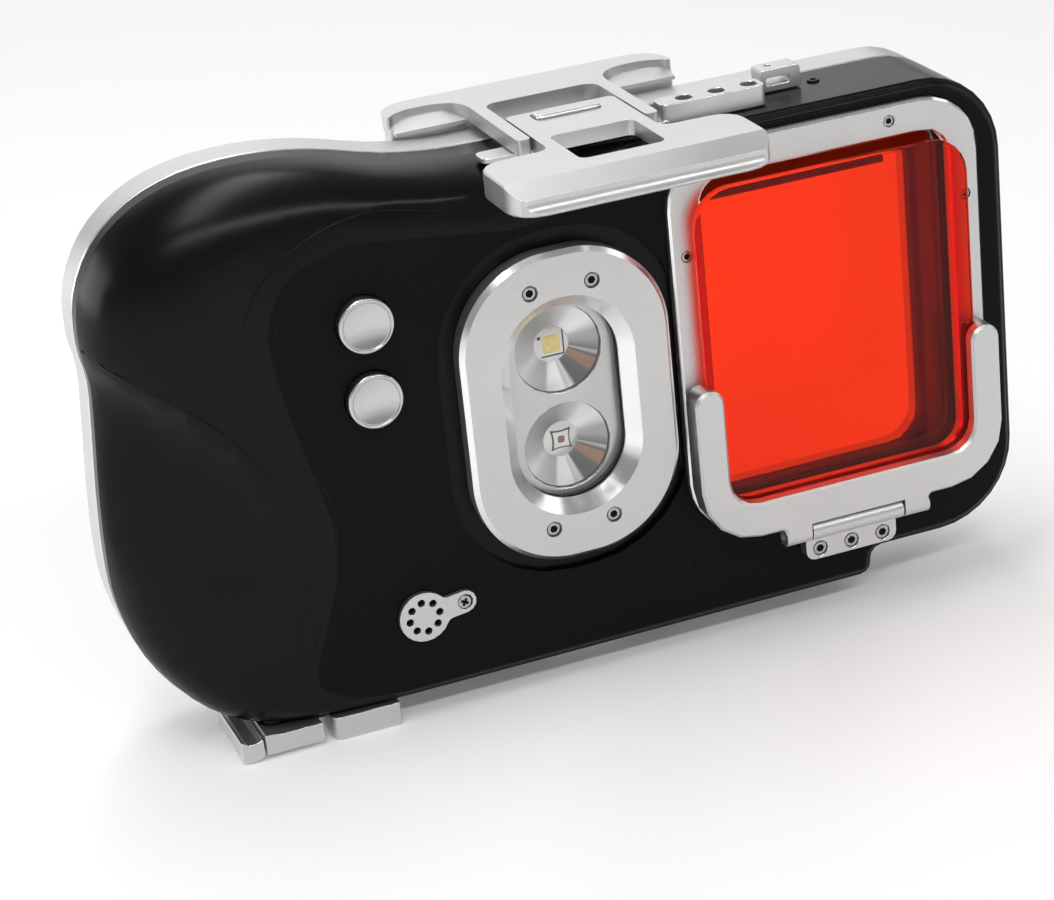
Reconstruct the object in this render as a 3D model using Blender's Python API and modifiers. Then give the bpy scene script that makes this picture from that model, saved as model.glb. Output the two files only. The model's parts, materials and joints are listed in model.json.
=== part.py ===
"""Underwater phone housing with a twin lamp, a flip-down filter and a squeeze latch.

Metres, +Z up. +X points to the camera port end and -Y to the front, where the port and the
lamp look. In the model's own frame y = 0 is the front face of the port frame and z = 0 is the
surface that the housing stands on. Everything hangs on one empty, which moves the middle of
the bounding box's bottom to the world origin.
"""
import math

import bmesh
import bpy
from mathutils import Matrix, Vector

MM = 0.001

# Clearances
GAP = 0.3 * MM
RUNNING_GAP = 0.4 * MM
SEAL_GAP = 0.2 * MM

# Overall sizes
GRIP_LEFT_X = -108.6 * MM
PORT_END_X = 109.0 * MM
BODY_BOTTOM_Z = 6.0 * MM
BODY_TOP_Z = 125.5 * MM
STEP_X = 70.0 * MM
STEP_RISE = 6.6 * MM
FRONT_Y = 1.8 * MM
SPLIT_Y = 25.2 * MM
DOOR_THICKNESS = 12.0 * MM
PORT_CORNER = 20.0 * MM

# Grip and front panel
SCALLOP_DEPTH = 4.4 * MM
SCALLOP_REACH = 9.0 * MM
SCALLOP_SNAP = 0.6 * MM
SCALLOP_RIGHT_X = -68.0 * MM
PALM_REACH = 26.0 * MM
RIM_FLAT = 2.0 * MM
RIM_REACH = 12.0 * MM
PANEL_RISE = 0.9 * MM
PANEL_EDGE = 0.8 * MM
GRIP_PANEL_EDGE = 5.0 * MM
PANEL_SOFT_SHOULDER = 10.0 * MM

# Camera port
PORT_X = 62.9 * MM
PORT_Z = 74.8 * MM
PORT_WIDTH = 77.7 * MM
PORT_HEIGHT = 94.4 * MM
PORT_RING = 7.7 * MM
PORT_RADIUS = 14.0 * MM
PORT_FRAME_THICKNESS = 3.0 * MM
PORT_SCREW_EDGE = 3.7 * MM
PORT_SCREW_X = 16.7 * MM
PORT_SCREW_Z = 22.3 * MM
PORT_SCREW_RADIUS = 1.5 * MM
PORT_SCREW_DEPTH = 0.9 * MM
PORT_GLASS_LAP = 2.6 * MM
PORT_GLASS_THICKNESS = 3.0 * MM
PORT_GASKET_THICKNESS = 0.8 * MM

# Lamp
LAMP_PORT_SPACE = 2.55 * MM
LAMP_Z = 69.0 * MM
BEZEL_SIDE = 11.95 * MM
BEZEL_END = 13.7 * MM
BEZEL_RADIUS = 22.5 * MM
BEZEL_FRONT_Y = -2.0 * MM
BEZEL_BACK_Y = 3.0 * MM
BEZEL_RECESS = 4.2 * MM
LAMP_OPENING_SIDE = 1.85 * MM
LAMP_OPENING_END = 0.3 * MM
LAMP_CHAMFER = 3.0 * MM
LAMP_WINDOW_LAP = 2.9 * MM
LAMP_WINDOW_THICKNESS = 3.0 * MM
LAMP_GASKET_THICKNESS = 0.8 * MM
BEZEL_SCREW_X = 7.4 * MM
BEZEL_SCREW_END = 8.4 * MM
BEZEL_SCREW_RADIUS = 1.9 * MM
REFLECTOR_RADIUS = 11.3 * MM
REFLECTOR_SPACE = 0.8 * MM
REFLECTOR_DEPTH = 6.6 * MM
REFLECTOR_WALL = 0.8 * MM
REFLECTOR_PLATE = 0.8 * MM
LED_SIZE = 4.2 * MM

# Lamp buttons
LAMP_BUTTON_X = -48.4 * MM
LAMP_BUTTON_Z = (98.2 * MM, 80.5 * MM)
LAMP_BUTTON_RADIUS = 6.4 * MM
LAMP_BUTTON_TRAVEL = 1.3 * MM
LAMP_BUTTON_PROUD = 2.4 * MM
LAMP_STEM_RADIUS = 2.0 * MM

# Pressure sensor guard
SENSOR_X = -43.2 * MM
SENSOR_Z = 25.9 * MM
SENSOR_RADIUS = 6.0 * MM
SENSOR_PLATE = 1.2 * MM
SENSOR_ARM = 10.0 * MM
SENSOR_ARM_RISE = 1.3 * MM
SENSOR_ARM_WIDTH = 5.4 * MM
SENSOR_ARM_FILLET = 1.4 * MM
SENSOR_SLOT_RADIUS = 1.9 * MM
SENSOR_HOLE_CIRCLE = 3.65 * MM
SENSOR_HOLE_RADIUS = 0.95 * MM

# Inside
CAVITY_LEFT_X = -66.0 * MM
CAVITY_WALL = 8.2 * MM
CAVITY_FRONT_Y = 9.6 * MM
CAVITY_RADIUS = 12.0 * MM
PHONE_HEIGHT = 78.0 * MM

# Filter
FILTER_THICKNESS = 2.0 * MM
FILTER_FRONT_Y = -3.4 * MM
FILTER_SIDE = 2.6 * MM
FILTER_TOP_DROP = 9.4 * MM
HOLDER_FRONT_Y = -6.8 * MM
HOLDER_ARM_RISE = 38.8 * MM
HOLDER_ARM_WIDTH = 7.2 * MM
FILTER_HINGE_Y = -4.6 * MM
FILTER_HINGE_DROP = 2.6 * MM
FILTER_BARREL_RADIUS = 2.3 * MM
FILTER_PIN_RADIUS = 1.0 * MM
FILTER_BARREL_LENGTH = 23.6 * MM
FILTER_LUG_LENGTH = 6.4 * MM
FILTER_SCREW_PITCH = 8.2 * MM

# Latch and rail
LATCH_X = 8.6 * MM
LATCH_RISE = 5.3 * MM
LATCH_PLATE = 3.6 * MM
FRONT_BAR_HALF = 30.4 * MM
FRONT_BAR_Y = (-29.6 * MM, -6.0 * MM)
FRONT_BAR_THICKNESS = 6.3 * MM
FRONT_BAR_SLOPE = 7.0 * MM
FINGER_GROOVE = 2.2 * MM
REAR_BAR_HALF = 35.2 * MM
REAR_BAR_REAR_Y = 49.0 * MM
THUMB_SCOOP_Y = (34.6 * MM, 42.3 * MM)
TONGUE_HALF = 13.1 * MM
TONGUE_REAR_Y = 21.6 * MM
WINDOW_HALF = 10.0 * MM
SLIDER_WINDOW_Y = (-16.6 * MM, 2.6 * MM)
ARM_TIP_Y = 3.6 * MM
ARM_WIDTH = 3.2 * MM
FORK_WINDOW_REAR_Y = 33.9 * MM
RAIL_FRONT_Y = 7.4 * MM
RAIL_DEPTH = 6.2 * MM
RAIL_LEFT_X = -15.2 * MM
RAIL_STEP_X = 27.8 * MM
RAIL_RIGHT_X = 53.3 * MM
RAIL_HEIGHT = 4.7 * MM
RAIL_BASE = 1.1 * MM
RAIL_HOLE_PITCH = 8.0 * MM
RAIL_HOLE_RADIUS = 2.0 * MM
RAIL_HOLE_X = 50.4 * MM

# Lanyard bracket
BRACKET_X = 60.6 * MM
BRACKET_Y = 15.4 * MM
BRACKET_WIDTH = 9.8 * MM
BRACKET_DEPTH = 5.4 * MM
BRACKET_HEIGHT = 5.3 * MM

# Door hinge
HINGE_X = 0.0 * MM
HINGE_Z = 2.7 * MM
HINGE_RADIUS = 2.2 * MM
HINGE_PIN_RADIUS = 1.1 * MM
HINGE_LENGTH = 50.0 * MM
HINGE_CENTRE_SHARE = 0.42

# Door window
WINDOW_LEFT_X = -60.0 * MM
WINDOW_RIGHT_X = 98.0 * MM
WINDOW_BOTTOM_Z = 25.0 * MM
WINDOW_TOP_Z = 112.0 * MM
WINDOW_LEDGE = 3.5 * MM
WINDOW_THICKNESS = 3.0 * MM
RETAINER_THICKNESS = 2.6 * MM
RETAINER_WIDTH = 4.5 * MM

# Rear buttons
REAR_BUTTON_X = -84.0 * MM
REAR_BUTTON_Z = 84.0 * MM
REAR_BUTTON_PITCH = 17.0 * MM
REAR_BUTTON_RADIUS = 5.6 * MM
REAR_BUTTON_TRAVEL = 1.2 * MM
REAR_BUTTON_PROUD = 1.6 * MM
REAR_STEM_RADIUS = 2.0 * MM

# Charging door under the grip
CHARGE_BLOCK_X = (-67.4 * MM, -51.1 * MM)
CHARGE_DOOR_X = (-83.4 * MM, -69.8 * MM)
CHARGE_LATCH_X = (-89.2 * MM, -84.0 * MM)
CHARGE_Y = (1.8 * MM, 21.4 * MM)
CHARGE_DOOR_THICKNESS = 4.5 * MM
CHARGE_HINGE_RADIUS = 1.9 * MM
CHARGE_PIN_RADIUS = 0.8 * MM
CHARGE_CATCH_Z = 4.0 * MM
SOCKET_WIDTH = 9.2 * MM
SOCKET_DEPTH = 3.4 * MM
SOCKET_LENGTH = 7.0 * MM
SOCKET_WALL = 0.8 * MM

# Feet and tripod bush
FOOT_X = (-34.0 * MM, 60.0 * MM)
FOOT_Y = 20.4 * MM
FOOT_RADIUS = 3.3 * MM
TRIPOD_X = 30.0 * MM
TRIPOD_Y = 12.5 * MM
TRIPOD_RADIUS = 5.0 * MM
TRIPOD_BORE = 2.7 * MM
TRIPOD_DEPTH = 7.5 * MM

# Values that follow from the sizes above
DOOR_FRONT_Y = SPLIT_Y + GAP
DOOR_BACK_Y = DOOR_FRONT_Y + DOOR_THICKNESS
LATCH_TOP_Z = BODY_TOP_Z + LATCH_RISE
LATCH_BOTTOM_Z = LATCH_TOP_Z - LATCH_PLATE
CAVITY_RIGHT_X = PORT_END_X - CAVITY_WALL
CAVITY_BOTTOM_Z = BODY_BOTTOM_Z + STEP_RISE + CAVITY_WALL - 0.7 * MM
CAVITY_TOP_Z = BODY_TOP_Z - CAVITY_WALL
MODEL_MIN_Y = FRONT_BAR_Y[0]
MODEL_MAX_Y = REAR_BAR_REAR_Y
REFLECTOR_PITCH = 2 * REFLECTOR_RADIUS + REFLECTOR_SPACE
LAMP_OPENING_WIDTH = 2 * (REFLECTOR_RADIUS + LAMP_OPENING_SIDE)
LAMP_OPENING_HEIGHT = 2 * (REFLECTOR_RADIUS + LAMP_OPENING_END) + REFLECTOR_PITCH
BEZEL_WIDTH = LAMP_OPENING_WIDTH + 2 * BEZEL_SIDE
BEZEL_HEIGHT = LAMP_OPENING_HEIGHT + 2 * BEZEL_END
BEZEL_SCREW_Z = BEZEL_HEIGHT / 2 - BEZEL_SCREW_END
LAMP_X = PORT_X - (PORT_WIDTH + BEZEL_WIDTH) / 2 - LAMP_PORT_SPACE
LAMP_WINDOW_Y = BEZEL_FRONT_Y + LAMP_CHAMFER + 0.9 * MM
LAMP_BUTTON_FACE_Y = FRONT_Y - LAMP_BUTTON_PROUD
LAMP_HEAD = 3.6 * MM
LAMP_BUTTON_FLOOR_Y = LAMP_BUTTON_FACE_Y + LAMP_HEAD + LAMP_BUTTON_TRAVEL + 2.1 * MM
LAMP_STEM_END_Y = CAVITY_FRONT_Y - LAMP_BUTTON_TRAVEL - 0.8 * MM
SENSOR_MEMBRANE_RADIUS = SENSOR_HOLE_CIRCLE + SENSOR_HOLE_RADIUS
SENSOR_FLOOR_Y = FRONT_Y + 1.4 * MM
PORT_LOW_Z = PORT_Z - PORT_HEIGHT / 2
FILTER_TOP_Z = PORT_Z + PORT_HEIGHT / 2 - FILTER_TOP_DROP
FILTER_HINGE_Z = PORT_LOW_Z - FILTER_HINGE_DROP
HOLDER_ARM_TOP_Z = PORT_LOW_Z + HOLDER_ARM_RISE
HOLDER_BAR = 8.5 * MM
FILTER_BASE_FRONT_Y = FILTER_HINGE_Y + FILTER_BARREL_RADIUS + RUNNING_GAP
LOCK_TRAVEL = 0.7 * MM
LOCK_PROUD = 0.8 * MM
LOCK_FLOOR_Z = LATCH_TOP_Z - 2.4 * MM
HINGE_Y = SPLIT_Y + GAP / 2
SEAL_IN = 2.2 * MM
SEAL_OUT = 4.4 * MM
SEAL_DEPTH = 1.7 * MM
REAR_BOARD_FLOOR_Y = DOOR_FRONT_Y + 5 * MM
REAR_BUTTON_FLOOR_Y = DOOR_BACK_Y - 4.1 * MM
REAR_STEM = REAR_BUTTON_FLOOR_Y + REAR_BUTTON_TRAVEL - DOOR_FRONT_Y - 4.1 * MM
CHARGE_X = sum(CHARGE_DOOR_X) / 2
CHARGE_MID_Y = sum(CHARGE_Y) / 2
BAY_Y = (CAVITY_FRONT_Y + 7 * MM, SPLIT_Y - GAP)

ALUMINIUM = ("bead_blasted_aluminium", (0.62, 0.62, 0.61), 1.0, 0.34)
BLACK = ("black_anodised_aluminium", (0.012, 0.012, 0.013), 0.6, 0.42)
STEEL = ("stainless_steel", (0.55, 0.55, 0.55), 1.0, 0.22)
RUBBER = ("black_rubber", (0.02, 0.02, 0.02), 0.0, 0.8)
GLASS = ("clear_glass", (0.9, 0.95, 0.95), 0.0, 0.03)
ORANGE = ("orange_acrylic", (0.95, 0.08, 0.01), 0.0, 0.08)
REFLECTOR = ("reflector_aluminium", (0.85, 0.85, 0.85), 1.0, 0.05)
BOARD = ("circuit_board", (0.02, 0.12, 0.05), 0.0, 0.5)
PHOSPHOR = ("led_phosphor", (0.85, 0.75, 0.2), 0.0, 0.4)
RED_CHIP = ("led_chip", (0.3, 0.05, 0.04), 0.0, 0.3)
CELL = ("cell_wrap", (0.05, 0.18, 0.4), 0.0, 0.4)

for old in list(bpy.data.objects):
    bpy.data.objects.remove(old, do_unlink=True)

PARTS = bpy.data.collections.new("underwater_phone_housing")
CUTTERS = bpy.data.collections.new("cutters")
for group in (PARTS, CUTTERS):
    bpy.context.scene.collection.children.link(group)

DATUM = bpy.data.objects.new("housing_datum", None)
PARTS.objects.link(DATUM)
DATUM.location = (-(GRIP_LEFT_X + PORT_END_X) / 2, -(MODEL_MIN_Y + MODEL_MAX_Y) / 2, 0)


def material(spec):
    """The Principled material of one finish, made once."""
    name, colour, metallic, roughness = spec
    found = bpy.data.materials.get(name)
    if found:
        return found
    made = bpy.data.materials.new(name)
    made.use_nodes = True
    shader = made.node_tree.nodes["Principled BSDF"]
    shader.inputs["Base Color"].default_value = (*colour, 1)
    shader.inputs["Metallic"].default_value = metallic
    shader.inputs["Roughness"].default_value = roughness
    made.diffuse_color = (*colour, 1)
    return made


def add_mesh(name, mesh_data, finish=None):
    """Link a mesh as a part, or as a hidden cutter when it has no finish."""
    made = bpy.data.objects.new(name, mesh_data)
    made.parent = DATUM
    if finish:
        PARTS.objects.link(made)
        made.data.materials.append(material(finish))
        made.data.shade_smooth()
        made.data.set_sharp_from_angle(angle=math.radians(32))
    else:
        CUTTERS.objects.link(made)
        made.hide_render = True
        made.display_type = "WIRE"
    return made


def from_bmesh(name, shape, finish=None):
    data = bpy.data.meshes.new(name)
    bmesh.ops.recalc_face_normals(shape, faces=shape.faces)
    shape.to_mesh(data)
    shape.free()
    return add_mesh(name, data, finish)


def box(name, x, y, z, finish=None, bevel=0.0):
    """A box between two values on each axis."""
    shape = bmesh.new()
    bmesh.ops.create_cube(shape, size=1)
    size = Vector((x[1] - x[0], y[1] - y[0], z[1] - z[0]))
    centre = Vector((sum(x) / 2, sum(y) / 2, sum(z) / 2))
    bmesh.ops.scale(shape, vec=size, verts=shape.verts)
    bmesh.ops.translate(shape, vec=centre, verts=shape.verts)
    if bevel:
        bmesh.ops.bevel(shape, geom=shape.edges[:], offset=bevel, segments=2, profile=0.5,
                        affect="EDGES")
    return from_bmesh(name, shape, finish)


AXIS_TURN = {
    "X": Matrix.Rotation(math.pi / 2, 4, "Y"),
    "Y": Matrix.Rotation(math.pi / 2, 4, "X"),
    "Z": Matrix.Identity(4),
}


def cylinder(name, centre, radius, length, axis="Y", finish=None, sides=32, radius2=None):
    """A cylinder or cone about its centre; radius2 is the end at the axis's positive side."""
    shape = bmesh.new()
    first, second = radius, radius if radius2 is None else radius2
    if axis == "Y":
        first, second = second, first
    bmesh.ops.create_cone(shape, cap_ends=True, segments=sides, radius1=first, radius2=second,
                          depth=length, matrix=Matrix.Translation(centre) @ AXIS_TURN[axis])
    return from_bmesh(name, shape, finish)


def arc(centre, radius, start, end, steps):
    """Points on an arc in degrees, both ends included."""
    points = []
    for step in range(steps + 1):
        angle = math.radians(start + (end - start) * step / steps)
        points.append((centre[0] + radius * math.cos(angle), centre[1] + radius * math.sin(angle)))
    return points


def rounded(centre, width, height, radius, steps=6):
    """A rounded rectangle's outline, counter-clockwise."""
    radius = min(radius, width / 2 - 1e-6, height / 2 - 1e-6)
    across, up = width / 2 - radius, height / 2 - radius
    points = []
    for quarter, (sx, sz) in enumerate(((1, 1), (-1, 1), (-1, -1), (1, -1))):
        corner = (centre[0] + sx * across, centre[1] + sz * up)
        points += arc(corner, radius, 90 * quarter, 90 * quarter + 90, steps)
    return points


def filleted(corners, steps=4):
    """An outline from corners (u, v, radius), each rounded by its own radius."""
    points = []
    count = len(corners)
    for index, (u, v, radius) in enumerate(corners):
        here = Vector((u, v))
        before = (Vector(corners[index - 1][:2]) - here).normalized()
        after = (Vector(corners[(index + 1) % count][:2]) - here).normalized()
        if radius <= 0:
            points.append((u, v))
            continue
        half = before.angle(after) / 2
        reach = radius / math.tan(half)
        middle = here + (before + after).normalized() * (radius / math.sin(half))
        start = here + before * reach - middle
        sweep = start.angle_signed(here + after * reach - middle)
        for step in range(steps + 1):
            turn = Matrix.Rotation(-sweep * step / steps, 2)
            points.append(tuple(middle + turn @ start))
    return points


def slab(name, outline, low, high, axis="Y", finish=None, holes=(), bevel=0.0, segments=2):
    """A flat outline, with holes, extruded along an axis by a filled 2D curve."""
    curve = bpy.data.curves.new(name, "CURVE")
    curve.dimensions = "2D"
    curve.fill_mode = "BOTH"
    curve.extrude = (high - low) / 2
    for loop in (outline, *holes):
        spline = curve.splines.new("POLY")
        spline.points.add(len(loop) - 1)
        for point, (u, v) in zip(spline.points, loop):
            point.co = (u, v, 0, 1)
        spline.use_cyclic_u = True
    source = bpy.data.objects.new(name, curve)
    CUTTERS.objects.link(source)
    bpy.context.view_layer.update()
    graph = bpy.context.evaluated_depsgraph_get()
    data = bpy.data.meshes.new_from_object(source.evaluated_get(graph))
    bpy.data.objects.remove(source, do_unlink=True)
    bpy.data.curves.remove(curve)
    shape = bmesh.new()
    shape.from_mesh(data)
    bpy.data.meshes.remove(data)
    bmesh.ops.remove_doubles(shape, verts=shape.verts, dist=1e-6)
    bmesh.ops.dissolve_limit(shape, angle_limit=math.radians(0.5), verts=shape.verts, edges=shape.edges)
    if axis == "Y":
        bmesh.ops.transform(shape, matrix=AXIS_TURN["Y"], verts=shape.verts)
        bmesh.ops.translate(shape, vec=(0, (low + high) / 2, 0), verts=shape.verts)
    elif axis == "X":
        bmesh.ops.transform(shape, matrix=Matrix(((0, 0, 1, 0), (1, 0, 0, 0), (0, 1, 0, 0), (0, 0, 0, 1))),
                            verts=shape.verts)
        bmesh.ops.translate(shape, vec=((low + high) / 2, 0, 0), verts=shape.verts)
    else:
        bmesh.ops.translate(shape, vec=(0, 0, (low + high) / 2), verts=shape.verts)
    made = from_bmesh(name, shape, finish)
    if bevel:
        edge = made.modifiers.new("edge", "BEVEL")
        edge.width = bevel
        edge.segments = segments
        edge.limit_method = "ANGLE"
        edge.angle_limit = math.radians(50)
    return made


def turned(name, profile, centre, finish=None, sides=32, axis="Y", closed=False):
    """A turned shape: (radius, height) pairs run down the outer side, top to bottom.

    Height points up, or to the front on a piece turned about Y.
    """
    data = bpy.data.meshes.new(name)
    points = [(radius, 0, height) for radius, height in profile]
    edges = [(i, i + 1) for i in range(len(points) - 1)]
    if closed:
        edges.append((len(points) - 1, 0))
    data.from_pydata(points, edges, [])
    made = add_mesh(name, data, finish)
    made.location = centre
    if axis == "Y":
        made.rotation_euler.x = math.pi / 2
    screw = made.modifiers.new("turn", "SCREW")
    screw.steps = sides
    screw.render_steps = sides
    screw.use_merge_vertices = True
    screw.merge_threshold = 1e-6
    return made


def boolean(target, tools, operation="DIFFERENCE"):
    """Cut the target with each tool, or join them to it."""
    for tool in tools if isinstance(tools, (list, tuple)) else [tools]:
        step = target.modifiers.new(tool.name, "BOOLEAN")
        step.operation = operation
        step.object = tool
        step.solver = "EXACT"


def set_axis(piece, point):
    """Put a moving piece's origin on its joint's axis."""
    shift = Vector(point) - piece.location
    piece.data.transform(Matrix.Translation(-shift))
    piece.location = Vector(point)


def spline_through(points, steps):
    """An open Catmull-Rom curve through the points, each point a tuple of numbers."""
    rows = [tuple(2 * a - b for a, b in zip(points[0], points[1])), *points,
            tuple(2 * a - b for a, b in zip(points[-1], points[-2]))]
    out = []
    for index in range(1, len(rows) - 2):
        p0, p1, p2, p3 = rows[index - 1:index + 3]
        for step in range(steps):
            t = step / steps
            out.append(tuple(
                0.5 * (2 * b + (c - a) * t + (2 * a - 5 * b + 4 * c - d) * t * t
                       + (3 * b - a - 3 * c + d) * t ** 3)
                for a, b, c, d in zip(p0, p1, p2, p3)))
    out.append(tuple(points[-1]))
    return out


def grip_line():
    """The grip's outline and the foot of its shoulder, as (x, z, panel x, panel z, round).

    The outline runs from the top of the body over the hump, down the palm side and back to the
    bottom. Each point is paired with the place where the rounded shoulder meets the front.
    """
    left, top, low = GRIP_LEFT_X, BODY_TOP_Z, BODY_BOTTOM_Z
    rows = (
        (20.0, 0.0, 20.0, -1.0, 1.0),
        (8.0, 0.0, 8.0, -4.0, 6.0),
        (-8.0, 0.0, -8.0, -8.5, 13.0),
        (-20.0, 0.3, -20.0, -8.0, 16.0),
        (-33.0, 2.1, -34.0, -5.8, 17.0),
        (-49.0, 6.3, -48.7, -4.0, 17.0),
        (-64.0, 8.1, -60.0, -6.5, 17.5),
        (-79.0, 7.1, -67.5, -10.5, 18.0),
        (-91.0, 2.9, -71.5, -15.5, 18.5),
        (-100.4, -5.0, -74.0, -21.0, 19.0),
        (-105.8, -15.5, -75.0, -26.5, 19.0),
        (-106.9, -26.5, -74.8, -32.5, 19.0),
        (-105.8, -35.5, -74.0, -39.0, 19.0),
        (-106.6, -47.5, -72.0, -48.0, 19.0),
        (-107.9, -61.5, -68.5, -60.5, 19.0),
        (-108.6, -75.5, -65.9, -73.5, 19.0),
        (-108.0, -88.0, -66.5, -84.5, 19.0),
        (-104.0, -101.5, -70.5, -95.0, 18.0),
        (-96.5, -112.4, -74.2, -106.0, 16.0),
        (-86.0, -118.6, -73.0, -113.5, 10.0),
        (-73.0, -119.5, -65.0, -117.2, 5.0),
        (-60.0, -119.5, -59.0, -117.9, 2.0),
        (-50.0, -119.5, -50.0, -118.5, 1.0),
    )
    stretch = left / (-108.6 * MM)
    squeeze = (top - low) / (119.5 * MM)
    points = []
    for x, z, inner_x, inner_z, rise in rows:
        points.append((x * MM * stretch, top + z * MM * squeeze,
                       inner_x * MM * stretch, top + inner_z * MM * squeeze, rise * MM))
    return spline_through(points, 3)


def body_line():
    """The whole outline, counter-clockwise from above the port, with each point's shoulder."""
    right, top, low = PORT_END_X, BODY_TOP_Z, BODY_BOTTOM_Z
    crease = 1.0 * MM
    radius = PORT_CORNER
    shelf = low + STEP_RISE
    fillet = 3.0 * MM
    plain = []
    plain += [(STEP_X - 2 * fillet, low)]
    plain += arc((STEP_X - fillet, low + fillet), fillet, -90, 0, 3)
    plain += arc((STEP_X + fillet, shelf - fillet), fillet, 180, 90, 3)
    plain += arc((right - radius, shelf + radius), radius, -90, 0, 8)
    plain += arc((right - radius, top - radius), radius, 0, 90, 8)
    plain += [(50.0 * MM, top)]
    rows = []
    count = len(plain)
    for index, (x, z) in enumerate(plain):
        before = Vector(plain[max(index - 1, 0)])
        after = Vector(plain[min(index + 1, count - 1)])
        along = (after - before).normalized()
        inward = Vector((-along.y, along.x))
        rows.append((x, z, x + inward.x * crease, z + inward.y * crease, crease))
    return grip_line() + rows


def crease_points():
    """The sharp diagonal ridge over the finger scallop, and the scallop's side along the panel."""
    stretch = GRIP_LEFT_X / (-108.6 * MM)
    squeeze = (BODY_TOP_Z - BODY_BOTTOM_Z) / (119.5 * MM)
    rows = ((-112.0, -22.9), (-99.3, -32.1), (-86.3, -42.0), (-79.8, -49.4), (-75.1, -56.0),
            (-71.4, -62.8), (-69.4, -70.5), (-69.0, -79.0), (-71.0, -89.0), (-75.5, -100.0),
            (-78.0, -109.0))
    return [Vector((x * MM * stretch, BODY_TOP_Z + z * MM * squeeze)) for x, z in rows]


def scallop_depth(x, z, y):
    """How far the grip's front is hollowed for the fingers, steepest right under the ridge."""
    here = Vector((x, z))
    nearest, inside, run = 1.0, False, 0.0
    points = crease_points()
    for index, (first, second) in enumerate(zip(points, points[1:])):
        along = second - first
        share = min(1.0, max(0.0, (here - first).dot(along) / along.length_squared))
        away = here - first - along * share
        if away.length < nearest:
            nearest = away.length
            inside = along.x * away.y - along.y * away.x < 0
            run = (index + share) / (len(points) - 1)
    if not inside:
        return 0.0
    sharp = min(1.0, max(0.0, (0.7 - run) / 0.2))
    reach = SCALLOP_REACH * (1.5 - 0.5 * sharp)
    share = max(0.0, min(1.0, (nearest - SCALLOP_SNAP) / reach))
    hollow = math.sin(math.pi / 2 * share) * sharp + share * share * (3 - 2 * share) * (1 - sharp)
    swell = max(0.0, 1 - (max(0.0, nearest - reach) / PALM_REACH) ** 2)
    foot = min(1.0, (1 - run) / 0.3)
    rim = min(1.0, max(0.0, (SPLIT_Y - RIM_FLAT - y) / RIM_REACH))
    return SCALLOP_DEPTH * hollow * swell * foot * rim


def crease_edges(shape):
    """Give the grip's mesh edges along the ridge and beside it, so that the ridge stays sharp."""
    points = crease_points()[:7]
    for reach in (0.0, SCALLOP_REACH * 0.4, SCALLOP_REACH):
        for first, second in zip(points, points[1:]):
            along = (second - first).normalized()
            length = (second - first).length
            start = first + Vector((along.y, -along.x)) * reach
            near = []
            for face in shape.faces:
                middle = face.calc_center_median()
                run = (Vector((middle.x, middle.z)) - start).dot(along)
                if middle.x < SCALLOP_RIGHT_X and middle.y < SPLIT_Y and 0 <= run <= length:
                    near.append(face)
            around = {edge for face in near for edge in face.edges}
            corners = {vert for face in near for vert in face.verts}
            bmesh.ops.bisect_plane(shape, geom=[*corners, *around, *near], dist=SCALLOP_SNAP,
                                   plane_co=(start.x, 0, start.y), plane_no=(-along.y, 0, along.x))


def body_shell(name, finish):
    """The casing's outer form: rings lofted from the split plane to the raised front panel."""
    line = body_line()
    count = len(line)
    shape = bmesh.new()
    meet = FRONT_Y + PANEL_RISE
    rings = [[shape.verts.new((x, SPLIT_Y, z)) for x, z, _, _, _ in line]]
    steps = 6
    for step in range(steps + 1):
        angle = math.pi / 2 * step / steps
        share = 1 - math.cos(angle)
        ring = []
        for x, z, inner_x, inner_z, rise in line:
            y = meet + rise * (1 - math.sin(angle))
            ring.append(shape.verts.new((x + (inner_x - x) * share, y, z + (inner_z - z) * share)))
        rings.append(ring)
    for share in (0.4, 1.0):
        lip = []
        for index in range(count):
            before = Vector(line[index - 1][2:4])
            after = Vector(line[(index + 1) % count][2:4])
            along = (after - before).normalized()
            soft = min(1.0, line[index][4] / PANEL_SOFT_SHOULDER)
            width = PANEL_EDGE + (GRIP_PANEL_EDGE - PANEL_EDGE) * soft
            place = Vector(line[index][2:4]) + Vector((-along.y, along.x)) * width * share
            lip.append(shape.verts.new((place.x, meet - PANEL_RISE * math.sqrt(share), place.y)))
        rings.append(lip)
    for first, second in zip(rings, rings[1:]):
        for index in range(count):
            other = (index + 1) % count
            shape.faces.new((first[index], first[other], second[other], second[index]))
    shape.faces.new(rings[0])
    shape.faces.new(rings[-1])
    crease_edges(shape)
    for vert in shape.verts:
        if vert.co.x < SCALLOP_RIGHT_X:
            vert.co.y += scallop_depth(vert.co.x, vert.co.z, vert.co.y)
    bmesh.ops.triangulate(shape, faces=[face for face in shape.faces if len(face.verts) < 20])
    return from_bmesh(name, shape, finish)


def port_outline(grow=0.0, inset=0.0):
    return rounded((PORT_X, PORT_Z), PORT_WIDTH + 2 * (grow - inset), PORT_HEIGHT + 2 * (grow - inset),
                   max(PORT_RADIUS + grow - inset, 2 * MM))


def bezel_outline(grow=0.0):
    return rounded((LAMP_X, LAMP_Z), BEZEL_WIDTH + 2 * grow, BEZEL_HEIGHT + 2 * grow,
                   BEZEL_RADIUS + grow, 6)


def lamp_outline(grow=0.0):
    return rounded((LAMP_X, LAMP_Z), LAMP_OPENING_WIDTH + 2 * grow, LAMP_OPENING_HEIGHT + 2 * grow,
                   LAMP_OPENING_WIDTH / 2 + grow, 7)


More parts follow.
